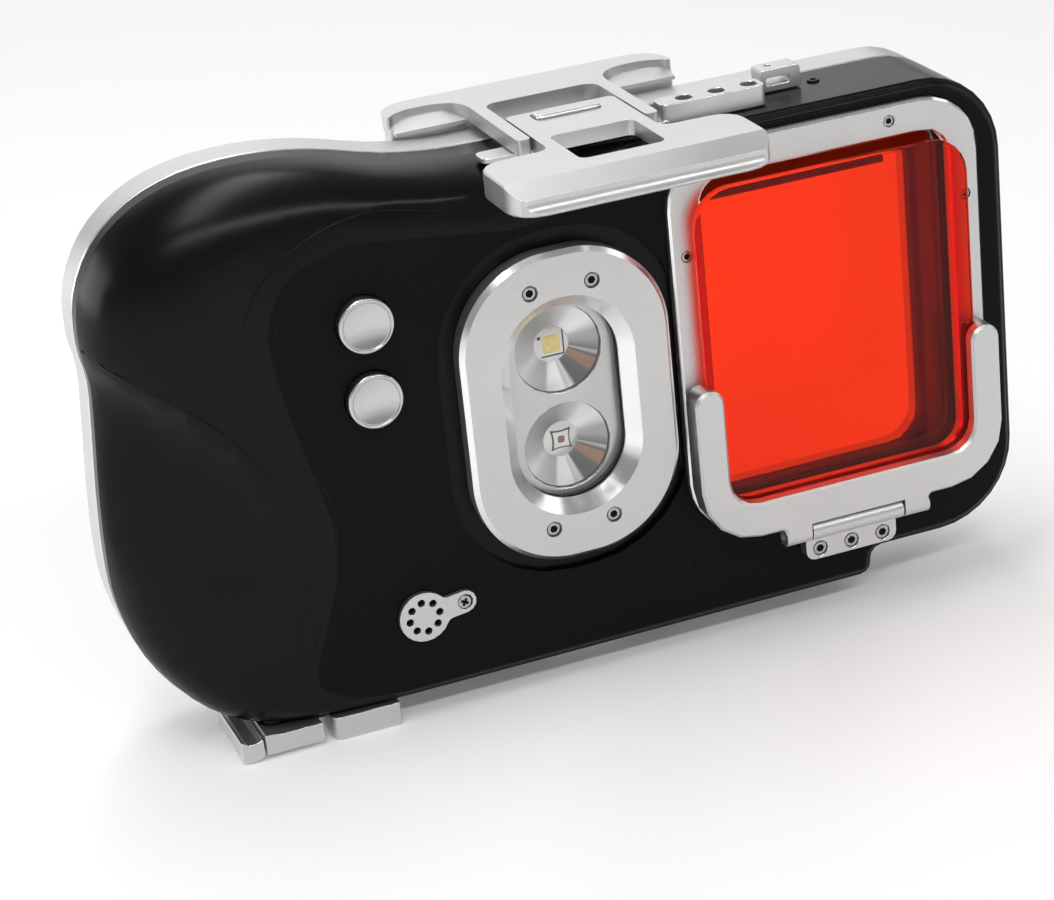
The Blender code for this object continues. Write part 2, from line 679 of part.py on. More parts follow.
def cavity_outline(inset=0.0):
    width = CAVITY_RIGHT_X - CAVITY_LEFT_X
    height = CAVITY_TOP_Z - CAVITY_BOTTOM_Z
    centre = ((CAVITY_RIGHT_X + CAVITY_LEFT_X) / 2, (CAVITY_TOP_Z + CAVITY_BOTTOM_Z) / 2)
    return rounded(centre, width - 2 * inset, height - 2 * inset, CAVITY_RADIUS - inset, 4)


def front_casing():
    shell = body_shell("front_casing", BLACK)
    opening = port_outline(inset=PORT_RING)
    glass_room = port_outline(inset=PORT_RING - PORT_GLASS_LAP - GAP)
    glass_floor = PORT_FRAME_THICKNESS + GAP + PORT_GLASS_THICKNESS + PORT_GASKET_THICKNESS + 2 * SEAL_GAP
    through = CAVITY_FRONT_Y + 1 * MM
    ahead = FRONT_Y - 8 * MM
    cuts = [
        slab("cavity_cut", cavity_outline(), CAVITY_FRONT_Y, SPLIT_Y + 3 * MM),
        slab("port_recess_cut", port_outline(grow=GAP), ahead, PORT_FRAME_THICKNESS + GAP),
        slab("port_glass_cut", glass_room, PORT_FRAME_THICKNESS, glass_floor),
        slab("port_opening_cut", opening, PORT_FRAME_THICKNESS, through),
        slab("bezel_recess_cut", bezel_outline(BEZEL_RECESS), ahead, BEZEL_BACK_Y + GAP),
        slab("lamp_window_cut", lamp_outline(LAMP_WINDOW_LAP + GAP), BEZEL_BACK_Y, lamp_ledge_y()),
        slab("lamp_opening_cut", lamp_outline(GAP), BEZEL_BACK_Y, through),
        cylinder("sensor_pocket_cut", (SENSOR_X, (ahead + SENSOR_FLOOR_Y) / 2, SENSOR_Z),
                 SENSOR_MEMBRANE_RADIUS + GAP, SENSOR_FLOOR_Y - ahead, sides=20),
        cylinder("sensor_port_cut", (SENSOR_X, CAVITY_FRONT_Y / 2 + 2 * MM, SENSOR_Z), 1.5 * MM,
                 CAVITY_FRONT_Y, sides=8),
        cylinder("tripod_cut", (TRIPOD_X, TRIPOD_Y, BODY_BOTTOM_Z + TRIPOD_DEPTH / 2 - 1 * MM),
                 TRIPOD_RADIUS + GAP, TRIPOD_DEPTH + 2 * MM + 2 * GAP, "Z", sides=20),
        box("socket_cut", socket_span(SOCKET_WIDTH, CHARGE_X, GAP),
            socket_span(SOCKET_DEPTH, CHARGE_MID_Y, GAP),
            (BODY_BOTTOM_Z - 3 * MM, BODY_BOTTOM_Z + SOCKET_LENGTH + 2 * GAP)),
    ]
    for index, z in enumerate(LAMP_BUTTON_Z):
        cuts.append(cylinder(f"lamp_button_cut_{index + 1}",
                             (LAMP_BUTTON_X, (ahead + LAMP_BUTTON_FLOOR_Y) / 2, z),
                             LAMP_BUTTON_RADIUS + GAP, LAMP_BUTTON_FLOOR_Y - ahead, sides=24))
        cuts.append(cylinder(f"lamp_stem_cut_{index + 1}", (LAMP_BUTTON_X, LAMP_BUTTON_FLOOR_Y, z),
                             LAMP_STEM_RADIUS + GAP, 2 * (through - LAMP_BUTTON_FLOOR_Y), sides=10))
    boolean(shell, cuts)


def lamp_ledge_y():
    """The floor under the lamp's window and gasket."""
    return LAMP_WINDOW_Y + LAMP_WINDOW_THICKNESS + LAMP_GASKET_THICKNESS + 2 * SEAL_GAP


def socket_span(size, centre, gap):
    return (centre - size / 2 - gap, centre + size / 2 + gap)


def port_frame():
    ring = slab("port_frame", port_outline(), 0, PORT_FRAME_THICKNESS, finish=ALUMINIUM,
                holes=[port_outline(inset=PORT_RING)], bevel=0.5 * MM, segments=1)
    cuts = []
    for index, (dx, dz) in enumerate(port_screws()):
        cuts.append(cylinder(f"port_screw_cut_{index + 1}", (PORT_X + dx, 0, PORT_Z + dz),
                             PORT_SCREW_RADIUS, 2 * PORT_SCREW_DEPTH, sides=8))
    boolean(ring, cuts)


def port_screws():
    """Screw places on the port frame: two on each side of it."""
    side = PORT_WIDTH / 2 - PORT_SCREW_EDGE
    edge = PORT_HEIGHT / 2 - PORT_SCREW_EDGE
    places = []
    for sign in (1, -1):
        for other in (1, -1):
            places.append((sign * PORT_SCREW_X, other * edge))
            places.append((sign * side, other * PORT_SCREW_Z))
    return places


def port_glazing():
    front = PORT_FRAME_THICKNESS + GAP
    outer = port_outline(inset=PORT_RING - PORT_GLASS_LAP)
    slab("port_glass", outer, front, front + PORT_GLASS_THICKNESS, finish=GLASS)
    back = front + PORT_GLASS_THICKNESS + SEAL_GAP
    slab("port_gasket", outer, back, back + PORT_GASKET_THICKNESS, finish=RUBBER,
         holes=[port_outline(inset=PORT_RING - GAP)])


def lamp_bezel():
    ring = slab("lamp_bezel", bezel_outline(), BEZEL_FRONT_Y, BEZEL_BACK_Y, finish=ALUMINIUM,
                bevel=1.1 * MM, segments=1)
    room = slab("lamp_window_room_cut", lamp_outline(LAMP_WINDOW_LAP + GAP), LAMP_WINDOW_Y - GAP,
                BEZEL_BACK_Y + 2 * MM)
    opening = slab("bezel_opening_cut", lamp_outline(), BEZEL_FRONT_Y - 1 * MM, BEZEL_BACK_Y)
    cuts = [room, opening, lamp_chamfer_cut()]
    for index, (dx, dz) in enumerate(bezel_screws()):
        cuts.append(cylinder(f"bezel_screw_cut_{index + 1}", (LAMP_X + dx, BEZEL_FRONT_Y, LAMP_Z + dz),
                             BEZEL_SCREW_RADIUS, 3.0 * MM, sides=12))
    boolean(ring, cuts)


def bezel_screws():
    return [(sx * BEZEL_SCREW_X, sz * BEZEL_SCREW_Z) for sx in (-1, 1) for sz in (1, -1)]


def lamp_chamfer_cut():
    """A tapered plug that bevels the bezel's opening: lofted, wider to the front."""
    reach = 1.0 * MM
    wide = lamp_outline(LAMP_CHAMFER + reach)
    narrow = lamp_outline(0)
    shape = bmesh.new()
    loft(shape, [[(x, BEZEL_FRONT_Y - reach, z) for x, z in wide],
                 [(x, BEZEL_FRONT_Y + LAMP_CHAMFER, z) for x, z in narrow]])
    return from_bmesh("lamp_chamfer_cut", shape)


def loft(shape, rings):
    """Join rings of points, each as long as the others, and close both ends."""
    made = [[shape.verts.new(point) for point in ring] for ring in rings]
    for first, second in zip(made, made[1:]):
        for index in range(len(first)):
            other = (index + 1) % len(first)
            shape.faces.new((first[index], first[other], second[other], second[index]))
    shape.faces.new(made[0])
    shape.faces.new(made[-1])


def lamp_optics():
    window = lamp_outline(LAMP_WINDOW_LAP)
    front = LAMP_WINDOW_Y
    slab("lamp_window", window, front, front + LAMP_WINDOW_THICKNESS, finish=GLASS)
    back = front + LAMP_WINDOW_THICKNESS + SEAL_GAP
    slab("lamp_gasket", window, back, back + LAMP_GASKET_THICKNESS, finish=RUBBER,
         holes=[lamp_outline(2 * GAP)])
    face = back
    cup_radius = REFLECTOR_RADIUS - REFLECTOR_WALL
    slab("reflector_plate", lamp_outline(SEAL_GAP), face, face + REFLECTOR_PLATE, finish=ALUMINIUM,
         holes=[arc((LAMP_X, LAMP_Z + side * REFLECTOR_PITCH / 2), cup_radius, 0, 342, 19)
                for side in (-1, 1)])
    rim = face + REFLECTOR_PLATE + GAP
    for name, side, led, finish in (("upper_reflector", 1, "white_led", PHOSPHOR),
                                    ("lower_reflector", -1, "red_led", RED_CHIP)):
        z = LAMP_Z + side * REFLECTOR_PITCH / 2
        steps = 3
        cup = []
        for step in range(steps + 1):
            share = step / steps
            radius = 3.4 * MM + (REFLECTOR_RADIUS - REFLECTOR_WALL - 3.4 * MM) * math.sqrt(share)
            cup.append((radius, -REFLECTOR_DEPTH * (1 - share)))
        outer = [(radius + REFLECTOR_WALL, height) for radius, height in reversed(cup)]
        turned(name, outer + cup, (LAMP_X, rim, z), REFLECTOR, closed=True, sides=18)
        chip = rim + REFLECTOR_DEPTH - 1.2 * MM
        box(led, (LAMP_X - LED_SIZE / 2, LAMP_X + LED_SIZE / 2), (chip, chip + 1.2 * MM),
            (z - LED_SIZE / 2, z + LED_SIZE / 2), finish)
    board = rim + REFLECTOR_DEPTH + GAP
    slab("led_board", lamp_outline(-1.5 * MM), board, board + 0.8 * MM, finish=BOARD)
    plate = board + 0.8 * MM + GAP
    slab("heat_spreader", rounded((LAMP_X, LAMP_Z), 32 * MM, 52 * MM, 3 * MM, 3), plate,
         plate + 0.8 * MM, finish=ALUMINIUM)


def lamp_buttons():
    for name, z in zip(("white_lamp_button", "red_lamp_button"), LAMP_BUTTON_Z):
        radius = LAMP_BUTTON_RADIUS
        profile = [(0, 0.3 * MM), (radius * 0.45, 0.2 * MM), (radius * 0.78, -0.1 * MM),
                   (radius * 0.87, 0.2 * MM), (radius, -0.4 * MM), (radius, -LAMP_HEAD),
                   (LAMP_STEM_RADIUS, -LAMP_HEAD),
                   (LAMP_STEM_RADIUS, LAMP_BUTTON_FACE_Y - LAMP_STEM_END_Y),
                   (0, LAMP_BUTTON_FACE_Y - LAMP_STEM_END_Y)]
        turned(name, profile, (LAMP_BUTTON_X, LAMP_BUTTON_FACE_Y, z), ALUMINIUM, sides=20)
        spring(name + "_spring", (LAMP_BUTTON_X, z), 3.5 * MM,
               LAMP_BUTTON_FACE_Y + LAMP_HEAD + 0.45 * MM, LAMP_BUTTON_FLOOR_Y - 0.45 * MM, 2.25)


def spring(name, centre, radius, start, end, turns):
    """A round-wire compression spring along Y, as one open coil."""
    curve = bpy.data.curves.new(name, "CURVE")
    curve.dimensions = "3D"
    curve.bevel_depth = 0.3 * MM
    curve.bevel_resolution = 1
    curve.use_fill_caps = True
    count = int(turns * 8)
    line = curve.splines.new("POLY")
    line.points.add(count)
    for index, point in enumerate(line.points):
        angle = 2 * math.pi * turns * index / count
        along = start + (end - start) * index / count
        point.co = (centre[0] + radius * math.cos(angle), along, centre[1] + radius * math.sin(angle), 1)
    made = bpy.data.objects.new(name, curve)
    made.parent = DATUM
    PARTS.objects.link(made)
    curve.materials.append(material(STEEL))


def sensor():
    """The guard over the pressure sensor: a disc with eight holes and an arm for its screw."""
    tilt = Matrix.Rotation(math.atan2(SENSOR_ARM_RISE, SENSOR_ARM), 2)
    half = SENSOR_ARM_WIDTH / 2
    side = half + SENSOR_ARM_FILLET
    along = math.sqrt((SENSOR_RADIUS + SENSOR_ARM_FILLET) ** 2 - side ** 2)
    turn = math.degrees(math.atan2(side, along))
    edge = arc((0, 0), SENSOR_RADIUS, turn, 360 - turn, 18)
    edge += arc((along, -side), SENSOR_ARM_FILLET, 180 - turn, 90, 2)[1:]
    edge += arc((SENSOR_ARM, 0), half, -90, 90, 6)
    edge += arc((along, side), SENSOR_ARM_FILLET, -90, turn - 180, 2)[:-1]
    holes = [arc((SENSOR_ARM, 0), SENSOR_SLOT_RADIUS, 0, 324, 9)]
    for index in range(8):
        angle = math.radians(45 * index)
        centre = (SENSOR_HOLE_CIRCLE * math.cos(angle), SENSOR_HOLE_CIRCLE * math.sin(angle))
        holes.append(arc(centre, SENSOR_HOLE_RADIUS, 0, 315, 7))
    place = Vector((SENSOR_X, SENSOR_Z))
    edge, *holes = [[tuple(tilt @ Vector(point) + place) for point in loop] for loop in (edge, *holes)]
    slab("sensor_guard", edge, FRONT_Y - GAP - SENSOR_PLATE, FRONT_Y - GAP, finish=ALUMINIUM, holes=holes)
    cylinder("sensor_membrane", (SENSOR_X, FRONT_Y + 0.7 * MM, SENSOR_Z), SENSOR_MEMBRANE_RADIUS,
             0.8 * MM, finish=RUBBER)


def filter_hinge():
    """The fixed leaf of the filter's hinge: screw plate and barrel in one, with its pin."""
    plate_back = FRONT_Y - GAP
    plate = slab("filter_hinge_base",
                 rounded((PORT_X, FILTER_HINGE_Z - 3.7 * MM), FILTER_BARREL_LENGTH, 11.0 * MM,
                         2.2 * MM, 3),
                 FILTER_BASE_FRONT_Y, plate_back, finish=ALUMINIUM)
    half = FILTER_BARREL_LENGTH / 2
    barrel = cylinder("filter_barrel_join", (PORT_X, FILTER_HINGE_Y, FILTER_HINGE_Z),
                      FILTER_BARREL_RADIUS, FILTER_BARREL_LENGTH, "X", sides=18)
    web = box("filter_web_join", (PORT_X - half, PORT_X + half),
              (FILTER_HINGE_Y, FILTER_BASE_FRONT_Y + 1 * MM),
              (FILTER_HINGE_Z - 1.2 * MM, FILTER_HINGE_Z + 1.2 * MM))
    bore = cylinder("filter_pin_cut", (PORT_X, FILTER_HINGE_Y, FILTER_HINGE_Z),
                    FILTER_PIN_RADIUS + GAP, 2 * FILTER_BARREL_LENGTH, "X", sides=16)
    boolean(plate, [barrel, web], "UNION")
    boolean(plate, bore)
    screws = []
    for index in (-1, 0, 1):
        screws.append(cylinder(f"hinge_screw_cut_{index + 2}",
                               (PORT_X + index * FILTER_SCREW_PITCH, FILTER_BASE_FRONT_Y,
                                FILTER_HINGE_Z - 6.6 * MM), 2.0 * MM, 1.8 * MM, sides=12))
    boolean(plate, screws)
    cylinder("filter_hinge_pin", (PORT_X, FILTER_HINGE_Y, FILTER_HINGE_Z), FILTER_PIN_RADIUS,
             FILTER_BARREL_LENGTH + 2 * FILTER_LUG_LENGTH, "X", STEEL, sides=16)


def filter_outline(grow=0.0):
    """The orange plate, which stands in grooves of the holder and rises free above its arms."""
    width = PORT_WIDTH - 2 * HOLDER_ARM_WIDTH + 2 * FILTER_SIDE
    bottom = PORT_LOW_Z + HOLDER_BAR - FILTER_SIDE
    return rounded((PORT_X, (FILTER_TOP_Z + bottom) / 2), width + 2 * grow,
                   FILTER_TOP_Z - bottom + 2 * grow, 9.0 * MM + grow)


def filter_holder():
    half = PORT_WIDTH / 2
    inner = half - HOLDER_ARM_WIDTH
    low = PORT_LOW_Z
    floor = low + HOLDER_BAR
    lug = FILTER_BARREL_LENGTH / 2 + FILTER_LUG_LENGTH + RUNNING_GAP
    foot = FILTER_HINGE_Z
    corners = [(-half, HOLDER_ARM_TOP_Z, 3.4 * MM), (-half, low, PORT_RADIUS),
               (-lug, low, 1.2 * MM), (-lug, foot, 0), (lug, foot, 0), (lug, low, 1.2 * MM),
               (half, low, PORT_RADIUS), (half, HOLDER_ARM_TOP_Z, 3.4 * MM),
               (inner, HOLDER_ARM_TOP_Z, 3.4 * MM), (inner, floor, 7.0 * MM),
               (-inner, floor, 7.0 * MM), (-inner, HOLDER_ARM_TOP_Z, 3.4 * MM)]
    outline = filleted([(PORT_X + x, z, radius) for x, z, radius in corners], 4)
    holder = slab("filter_holder", outline, HOLDER_FRONT_Y, -RUNNING_GAP, finish=ALUMINIUM,
                  bevel=0.6 * MM, segments=1)
    reach = FILTER_BARREL_RADIUS
    lugs = []
    for side in (-1, 1):
        middle = FILTER_BARREL_LENGTH / 2 + RUNNING_GAP + FILTER_LUG_LENGTH / 2
        lugs.append(cylinder(f"filter_lug_join_{side + 2}",
                             (PORT_X + side * middle, FILTER_HINGE_Y, FILTER_HINGE_Z),
                             reach, FILTER_LUG_LENGTH, "X", sides=18))
    boolean(holder, lugs, "UNION")
    gap = RUNNING_GAP
    room = FILTER_BARREL_RADIUS + gap
    cuts = [
        slab("filter_groove_cut", filter_outline(GAP), FILTER_FRONT_Y - GAP,
             FILTER_FRONT_Y + FILTER_THICKNESS + GAP),
        box("barrel_room_cut", socket_span(FILTER_BARREL_LENGTH, PORT_X, gap),
            (HOLDER_FRONT_Y - 1 * MM, 1 * MM), (foot - 5 * MM, FILTER_HINGE_Z + room)),
        box("lug_back_cut", socket_span(2 * lug, PORT_X, 1 * MM),
            (FILTER_HINGE_Y + FILTER_BARREL_RADIUS, 1 * MM), (foot - 5 * MM, low)),
        cylinder("holder_pin_cut", (PORT_X, FILTER_HINGE_Y, FILTER_HINGE_Z),
                 FILTER_PIN_RADIUS + GAP, 4 * FILTER_BARREL_LENGTH, "X", sides=16),
    ]
    boolean(holder, cuts)
    plate = slab("filter_plate", filter_outline(), FILTER_FRONT_Y, FILTER_FRONT_Y + FILTER_THICKNESS,
                 finish=ORANGE, bevel=0.25 * MM, segments=1)
    for piece in (holder, plate):
        set_axis(piece, (PORT_X, FILTER_HINGE_Y, FILTER_HINGE_Z))


def mirrored(points):
    """A half outline on the +X side, from rear to front, completed on the -X side."""
    return points + [(-x, y, radius) for x, y, radius in reversed(points)]


def latch_slider():
    """Front finger bar and its tongue in one piece, with a window through the tongue."""
    front, rear = FRONT_BAR_Y
    half = FRONT_BAR_HALF
    bar = mirrored([(half, rear, 6 * MM), (half, front, 7 * MM)])
    bar = [(LATCH_X + x, y, radius) for x, y, radius in bar]
    slider = slab("latch_slider", filleted(bar, 4), LATCH_TOP_Z - FRONT_BAR_THICKNESS, LATCH_TOP_Z, "Z",
                  ALUMINIUM, bevel=0.4 * MM, segments=1)
    tongue = mirrored([(TONGUE_HALF, TONGUE_REAR_Y, 1.5 * MM), (TONGUE_HALF, rear - GAP, 3 * MM),
                       (half - 9 * MM, rear - GAP, 0), (half - 9 * MM, rear - 2 * MM, 0)])
    tongue = [(LATCH_X + x, y, radius) for x, y, radius in tongue]
    neck = slab("tongue_join", filleted(tongue, 3), LATCH_BOTTOM_Z, LATCH_TOP_Z, "Z")
    boolean(slider, neck, "UNION")
    span = (LATCH_X - 2 * half, LATCH_X + 2 * half)
    over, drop = LATCH_TOP_Z + 1.0 * MM, LATCH_TOP_Z - 2.6 * MM
    ahead = front - 2 * MM
    slope = slab("front_slope_cut", [(front + FRONT_BAR_SLOPE + 2 * MM, over), (ahead, over), (ahead, drop),
                                     (front + 1.5 * MM, drop)], *span, axis="X")
    groove = cylinder("front_groove_cut", (LATCH_X, front - 0.7 * MM, LATCH_TOP_Z - 3.5 * MM), FINGER_GROOVE,
                      4 * half, "X", sides=32)
    window = slab("slider_window_cut", rounded((LATCH_X, sum(SLIDER_WINDOW_Y) / 2), 2 * WINDOW_HALF,
                                               SLIDER_WINDOW_Y[1] - SLIDER_WINDOW_Y[0], 2.0 * MM, 3),
                  LATCH_TOP_Z - 2 * FRONT_BAR_THICKNESS, LATCH_TOP_Z + 2 * MM, "Z")
    pad_room = slab("lock_room_cut", rounded(*lock_pad(GAP), 1.2 * MM, 3), LOCK_FLOOR_Z,
                    LATCH_TOP_Z + 2 * MM, "Z")
    boolean(slider, [slope, groove, window, pad_room])
    slab("lock_button", rounded(*lock_pad(), 1.0 * MM, 3), LOCK_FLOOR_Z + LOCK_TRAVEL + SEAL_GAP,
         LATCH_TOP_Z + LOCK_PROUD, "Z", ALUMINIUM, bevel=0.3 * MM, segments=1)


def lock_pad(grow=0.0):
    """Centre, width and depth of the lock button on the tongue."""
    return (LATCH_X, TONGUE_REAR_Y - 4.4 * MM), 15.2 * MM + 2 * grow, 5.0 * MM + 2 * grow


def latch_fork():
    """Rear finger bar, scooped for the thumbs, and its two arms, bolted on the door's top edge."""
    rear = REAR_BAR_REAR_Y
    half = REAR_BAR_HALF
    tip, deep = THUMB_SCOOP_Y
    arm_in = TONGUE_HALF + RUNNING_GAP + 0.1 * MM
    arm_out = arm_in + ARM_WIDTH
    corners = mirrored([(half, rear, 8 * MM), (half, tip, 0.7 * MM),
                        (half - 1.6 * MM, deep - 2 * MM, 3 * MM), (half - 6 * MM, deep, 5 * MM),
                        (arm_out, deep, 7.5 * MM),
                        (arm_out, ARM_TIP_Y, 1.2 * MM), (arm_in, ARM_TIP_Y, 1.0 * MM),
                        (arm_in, FORK_WINDOW_REAR_Y, 3 * MM)])
    outline = filleted([(LATCH_X + x, y, radius) for x, y, radius in corners], 4)
    fork = slab("latch_fork", outline, LATCH_BOTTOM_Z, LATCH_TOP_Z, "Z", ALUMINIUM, bevel=0.4 * MM,
                segments=1)
    seat = box("fork_seat_join", socket_span(2 * arm_out, LATCH_X, 0),
               (FORK_WINDOW_REAR_Y + 1 * MM, rear - 4 * MM), (BODY_TOP_Z + GAP, LATCH_BOTTOM_Z + 1 * MM))
    behind = DOOR_BACK_Y + 2 * GAP
    skirt = mirrored([(half - GAP, rear - GAP, 7.7 * MM), (half - GAP, behind, 0.6 * MM)])
    lip = slab("rear_lip_join", filleted([(LATCH_X + x, y, radius) for x, y, radius in skirt], 4),
               BODY_TOP_Z - 1.6 * MM, LATCH_BOTTOM_Z + 1 * MM, "Z")
    floor = LATCH_TOP_Z - 1.8 * MM
    low = LATCH_BOTTOM_Z - GAP
    near, far = tip + 0.8 * MM, deep + 2 * MM
    thumb_rest = slab("thumb_rest_join", [(near, low), (near, low + 0.9 * MM), (deep - 1 * MM, floor),
                                          (far, floor), (far, low)],
                      *socket_span(2 * (half - 0.9 * MM), LATCH_X, 0), axis="X")
    boolean(fork, [seat, lip, thumb_rest], "UNION")


def latch_rail():
    """The base under the tongue and, right of it, the accessory rail with its threaded holes."""
    low = BODY_TOP_Z + GAP
    middle_y = RAIL_FRONT_Y + RAIL_DEPTH / 2
    rail = slab("latch_rail", rounded(((RAIL_LEFT_X + RAIL_RIGHT_X) / 2, middle_y),
                                      RAIL_RIGHT_X - RAIL_LEFT_X, RAIL_DEPTH, 1.5 * MM, 3),
                low, low + RAIL_BASE, "Z", ALUMINIUM)
    block = slab("rail_block_join", rounded(((RAIL_STEP_X + RAIL_RIGHT_X) / 2, middle_y),
                                            RAIL_RIGHT_X - RAIL_STEP_X, RAIL_DEPTH, 1.5 * MM, 3),
                 low, low + RAIL_HEIGHT, "Z")
    holes = []
    for index in range(3):
        holes.append(cylinder(f"rail_hole_cut_{index + 1}",
                              (RAIL_HOLE_X - index * RAIL_HOLE_PITCH, middle_y, low), RAIL_HOLE_RADIUS,
                              4 * RAIL_HEIGHT, "Z", sides=14))
    boolean(rail, block, "UNION")
    boolean(rail, holes)


def lanyard_bracket():
    low = BODY_TOP_Z + GAP
    left, right = socket_span(BRACKET_WIDTH, BRACKET_X, 0)
    outline = filleted([(left, low, 0), (left, low + BRACKET_HEIGHT, 0.8 * MM),
                        (right, low + BRACKET_HEIGHT, 0.8 * MM), (right, low, 0)], 3)
    slot = rounded((BRACKET_X - 0.8 * MM, low + 2.4 * MM), 5.8 * MM, 1.8 * MM, 0.5 * MM, 3)
    bracket = slab("lanyard_bracket", outline, BRACKET_Y, BRACKET_Y + BRACKET_DEPTH, finish=ALUMINIUM,
                   holes=[slot])
    hole = cylinder("bracket_screw_cut", (BRACKET_X - 1.7 * MM, BRACKET_Y + BRACKET_DEPTH * 0.6,
                                          low + BRACKET_HEIGHT), 0.8 * MM, 2.4 * MM, "Z", sides=12)
    boolean(bracket, hole)


def inset_points(points, distance):
    """A closed counter-clockwise outline moved inward."""
    moved = []
    for index, point in enumerate(points):
        before = Vector(points[index - 1])
        after = Vector(points[(index + 1) % len(points)])
        along = (after - before).normalized()
        moved.append((point[0] - along.y * distance, point[1] + along.x * distance))
    return moved


def door_outline():
    return [(x, z) for x, z, _, _, _ in body_line()]


def window_outline(grow=0.0):
    centre = ((WINDOW_LEFT_X + WINDOW_RIGHT_X) / 2, (WINDOW_BOTTOM_Z + WINDOW_TOP_Z) / 2)
    return rounded(centre, WINDOW_RIGHT_X - WINDOW_LEFT_X + 2 * grow,
                   WINDOW_TOP_Z - WINDOW_BOTTOM_Z + 2 * grow, 8 * MM + grow, 4)


def rear_door():
    line = door_outline()
    soft = 0.6 * MM
    round_edge = 2.4 * MM
    sections = [(soft, DOOR_FRONT_Y), (0, DOOR_FRONT_Y + soft), (0, DOOR_BACK_Y - round_edge),
                (round_edge * 0.3, DOOR_BACK_Y - round_edge * 0.3), (round_edge, DOOR_BACK_Y)]
    shape = bmesh.new()
    loft(shape, [[(x, y, z) for x, z in inset_points(line, inset)] for inset, y in sections])
    door = from_bmesh("rear_door", shape, ALUMINIUM)
    joins = []
    half = HINGE_LENGTH / 2
    centre_half = half * HINGE_CENTRE_SHARE + GAP
    for side in (-1, 1):
        near, far = HINGE_X + side * centre_half, HINGE_X + side * half
        low, high = min(near, far), max(near, far)
        joins.append(cylinder(f"door_knuckle_join_{side + 2}", ((low + high) / 2, HINGE_Y, HINGE_Z),
                              HINGE_RADIUS, high - low, "X", sides=20))
        joins.append(box(f"door_web_join_{side + 2}", (low, high),
                         (DOOR_FRONT_Y + GAP, DOOR_FRONT_Y + 4 * MM),
                         (HINGE_Z - 1.2 * MM, BODY_BOTTOM_Z + 2.5 * MM)))
    boolean(door, joins, "UNION")
    behind = DOOR_BACK_Y + 4 * MM
    ledge_y = DOOR_BACK_Y - WINDOW_LEDGE
    cuts = [
        slab("door_pocket_cut", window_outline(WINDOW_LEDGE + GAP), DOOR_FRONT_Y - 1 * MM, ledge_y),
        slab("door_window_cut", window_outline(), DOOR_FRONT_Y, behind),
        slab("seal_groove_cut", cavity_outline(-SEAL_OUT - SEAL_GAP), DOOR_FRONT_Y - 1 * MM,
             DOOR_FRONT_Y + SEAL_DEPTH, holes=[cavity_outline(-SEAL_IN + SEAL_GAP)]),
        slab("board_pocket_cut", rear_board_outline(GAP), DOOR_FRONT_Y - 1 * MM, REAR_BOARD_FLOOR_Y),
        cylinder("door_pin_cut", (HINGE_X, HINGE_Y, HINGE_Z), HINGE_PIN_RADIUS + GAP, 2 * HINGE_LENGTH,
                 "X", sides=16),
    ]
    for index, z in enumerate(rear_button_places()):
        cuts.append(cylinder(f"rear_button_cut_{index + 1}",
                             (REAR_BUTTON_X, (REAR_BUTTON_FLOOR_Y + behind) / 2, z),
                             REAR_BUTTON_RADIUS + GAP, behind - REAR_BUTTON_FLOOR_Y, sides=20))
        cuts.append(cylinder(f"rear_stem_cut_{index + 1}", (REAR_BUTTON_X, REAR_BUTTON_FLOOR_Y, z),
                             REAR_STEM_RADIUS + GAP, 8 * MM, sides=10))
    boolean(door, cuts)
    set_axis(door, (HINGE_X, HINGE_Y, HINGE_Z))


def rear_button_places():
    return [REAR_BUTTON_Z + (index - 1.5) * REAR_BUTTON_PITCH for index in range(4)]


def rear_board_outline(grow=0.0):
    height = 3 * REAR_BUTTON_PITCH + 2 * REAR_BUTTON_RADIUS + 2 * MM
    return rounded((REAR_BUTTON_X, REAR_BUTTON_Z), 17 * MM + 2 * grow, height + 2 * grow, 2 * MM + grow, 3)


def door_fittings():
    ledge_y = DOOR_BACK_Y - WINDOW_LEDGE
    glass_back = ledge_y - GAP
    glass_front = glass_back - WINDOW_THICKNESS
    slab("rear_window", window_outline(WINDOW_LEDGE), glass_front, glass_back, finish=GLASS)
    slab("window_retainer", window_outline(WINDOW_LEDGE), glass_front - GAP - RETAINER_THICKNESS,
         glass_front - GAP, finish=BLACK, holes=[window_outline(WINDOW_LEDGE - RETAINER_WIDTH)])
    slab("door_seal", cavity_outline(-SEAL_OUT), DOOR_FRONT_Y - SEAL_GAP / 2,
         DOOR_FRONT_Y + SEAL_DEPTH - SEAL_GAP, finish=RUBBER, holes=[cavity_outline(-SEAL_IN)])
    board = slab("rear_button_board", rear_board_outline(), DOOR_FRONT_Y + 0.7 * MM,
                 DOOR_FRONT_Y + 1.9 * MM, finish=BOARD)
    domes = []
    for index, z in enumerate(rear_button_places()):
        domes.append(cylinder(f"rear_switch_join_{index + 1}", (REAR_BUTTON_X, DOOR_FRONT_Y + 2.1 * MM, z),
                              2.2 * MM, 1.2 * MM, sides=12))
        head = REAR_BUTTON_TRAVEL + SEAL_GAP + REAR_BUTTON_FLOOR_Y
        depth = DOOR_BACK_Y + REAR_BUTTON_PROUD - head
        radius = REAR_BUTTON_RADIUS
        profile = [(0, REAR_STEM), (REAR_STEM_RADIUS, REAR_STEM), (REAR_STEM_RADIUS, 0), (radius, 0),
                   (radius, -depth + 0.6 * MM), (radius - 0.6 * MM, -depth), (0, -depth + 0.4 * MM)]
        turned(f"rear_button_{index + 1}", profile, (REAR_BUTTON_X, head, z), ALUMINIUM, sides=18)
    boolean(board, domes, "UNION")


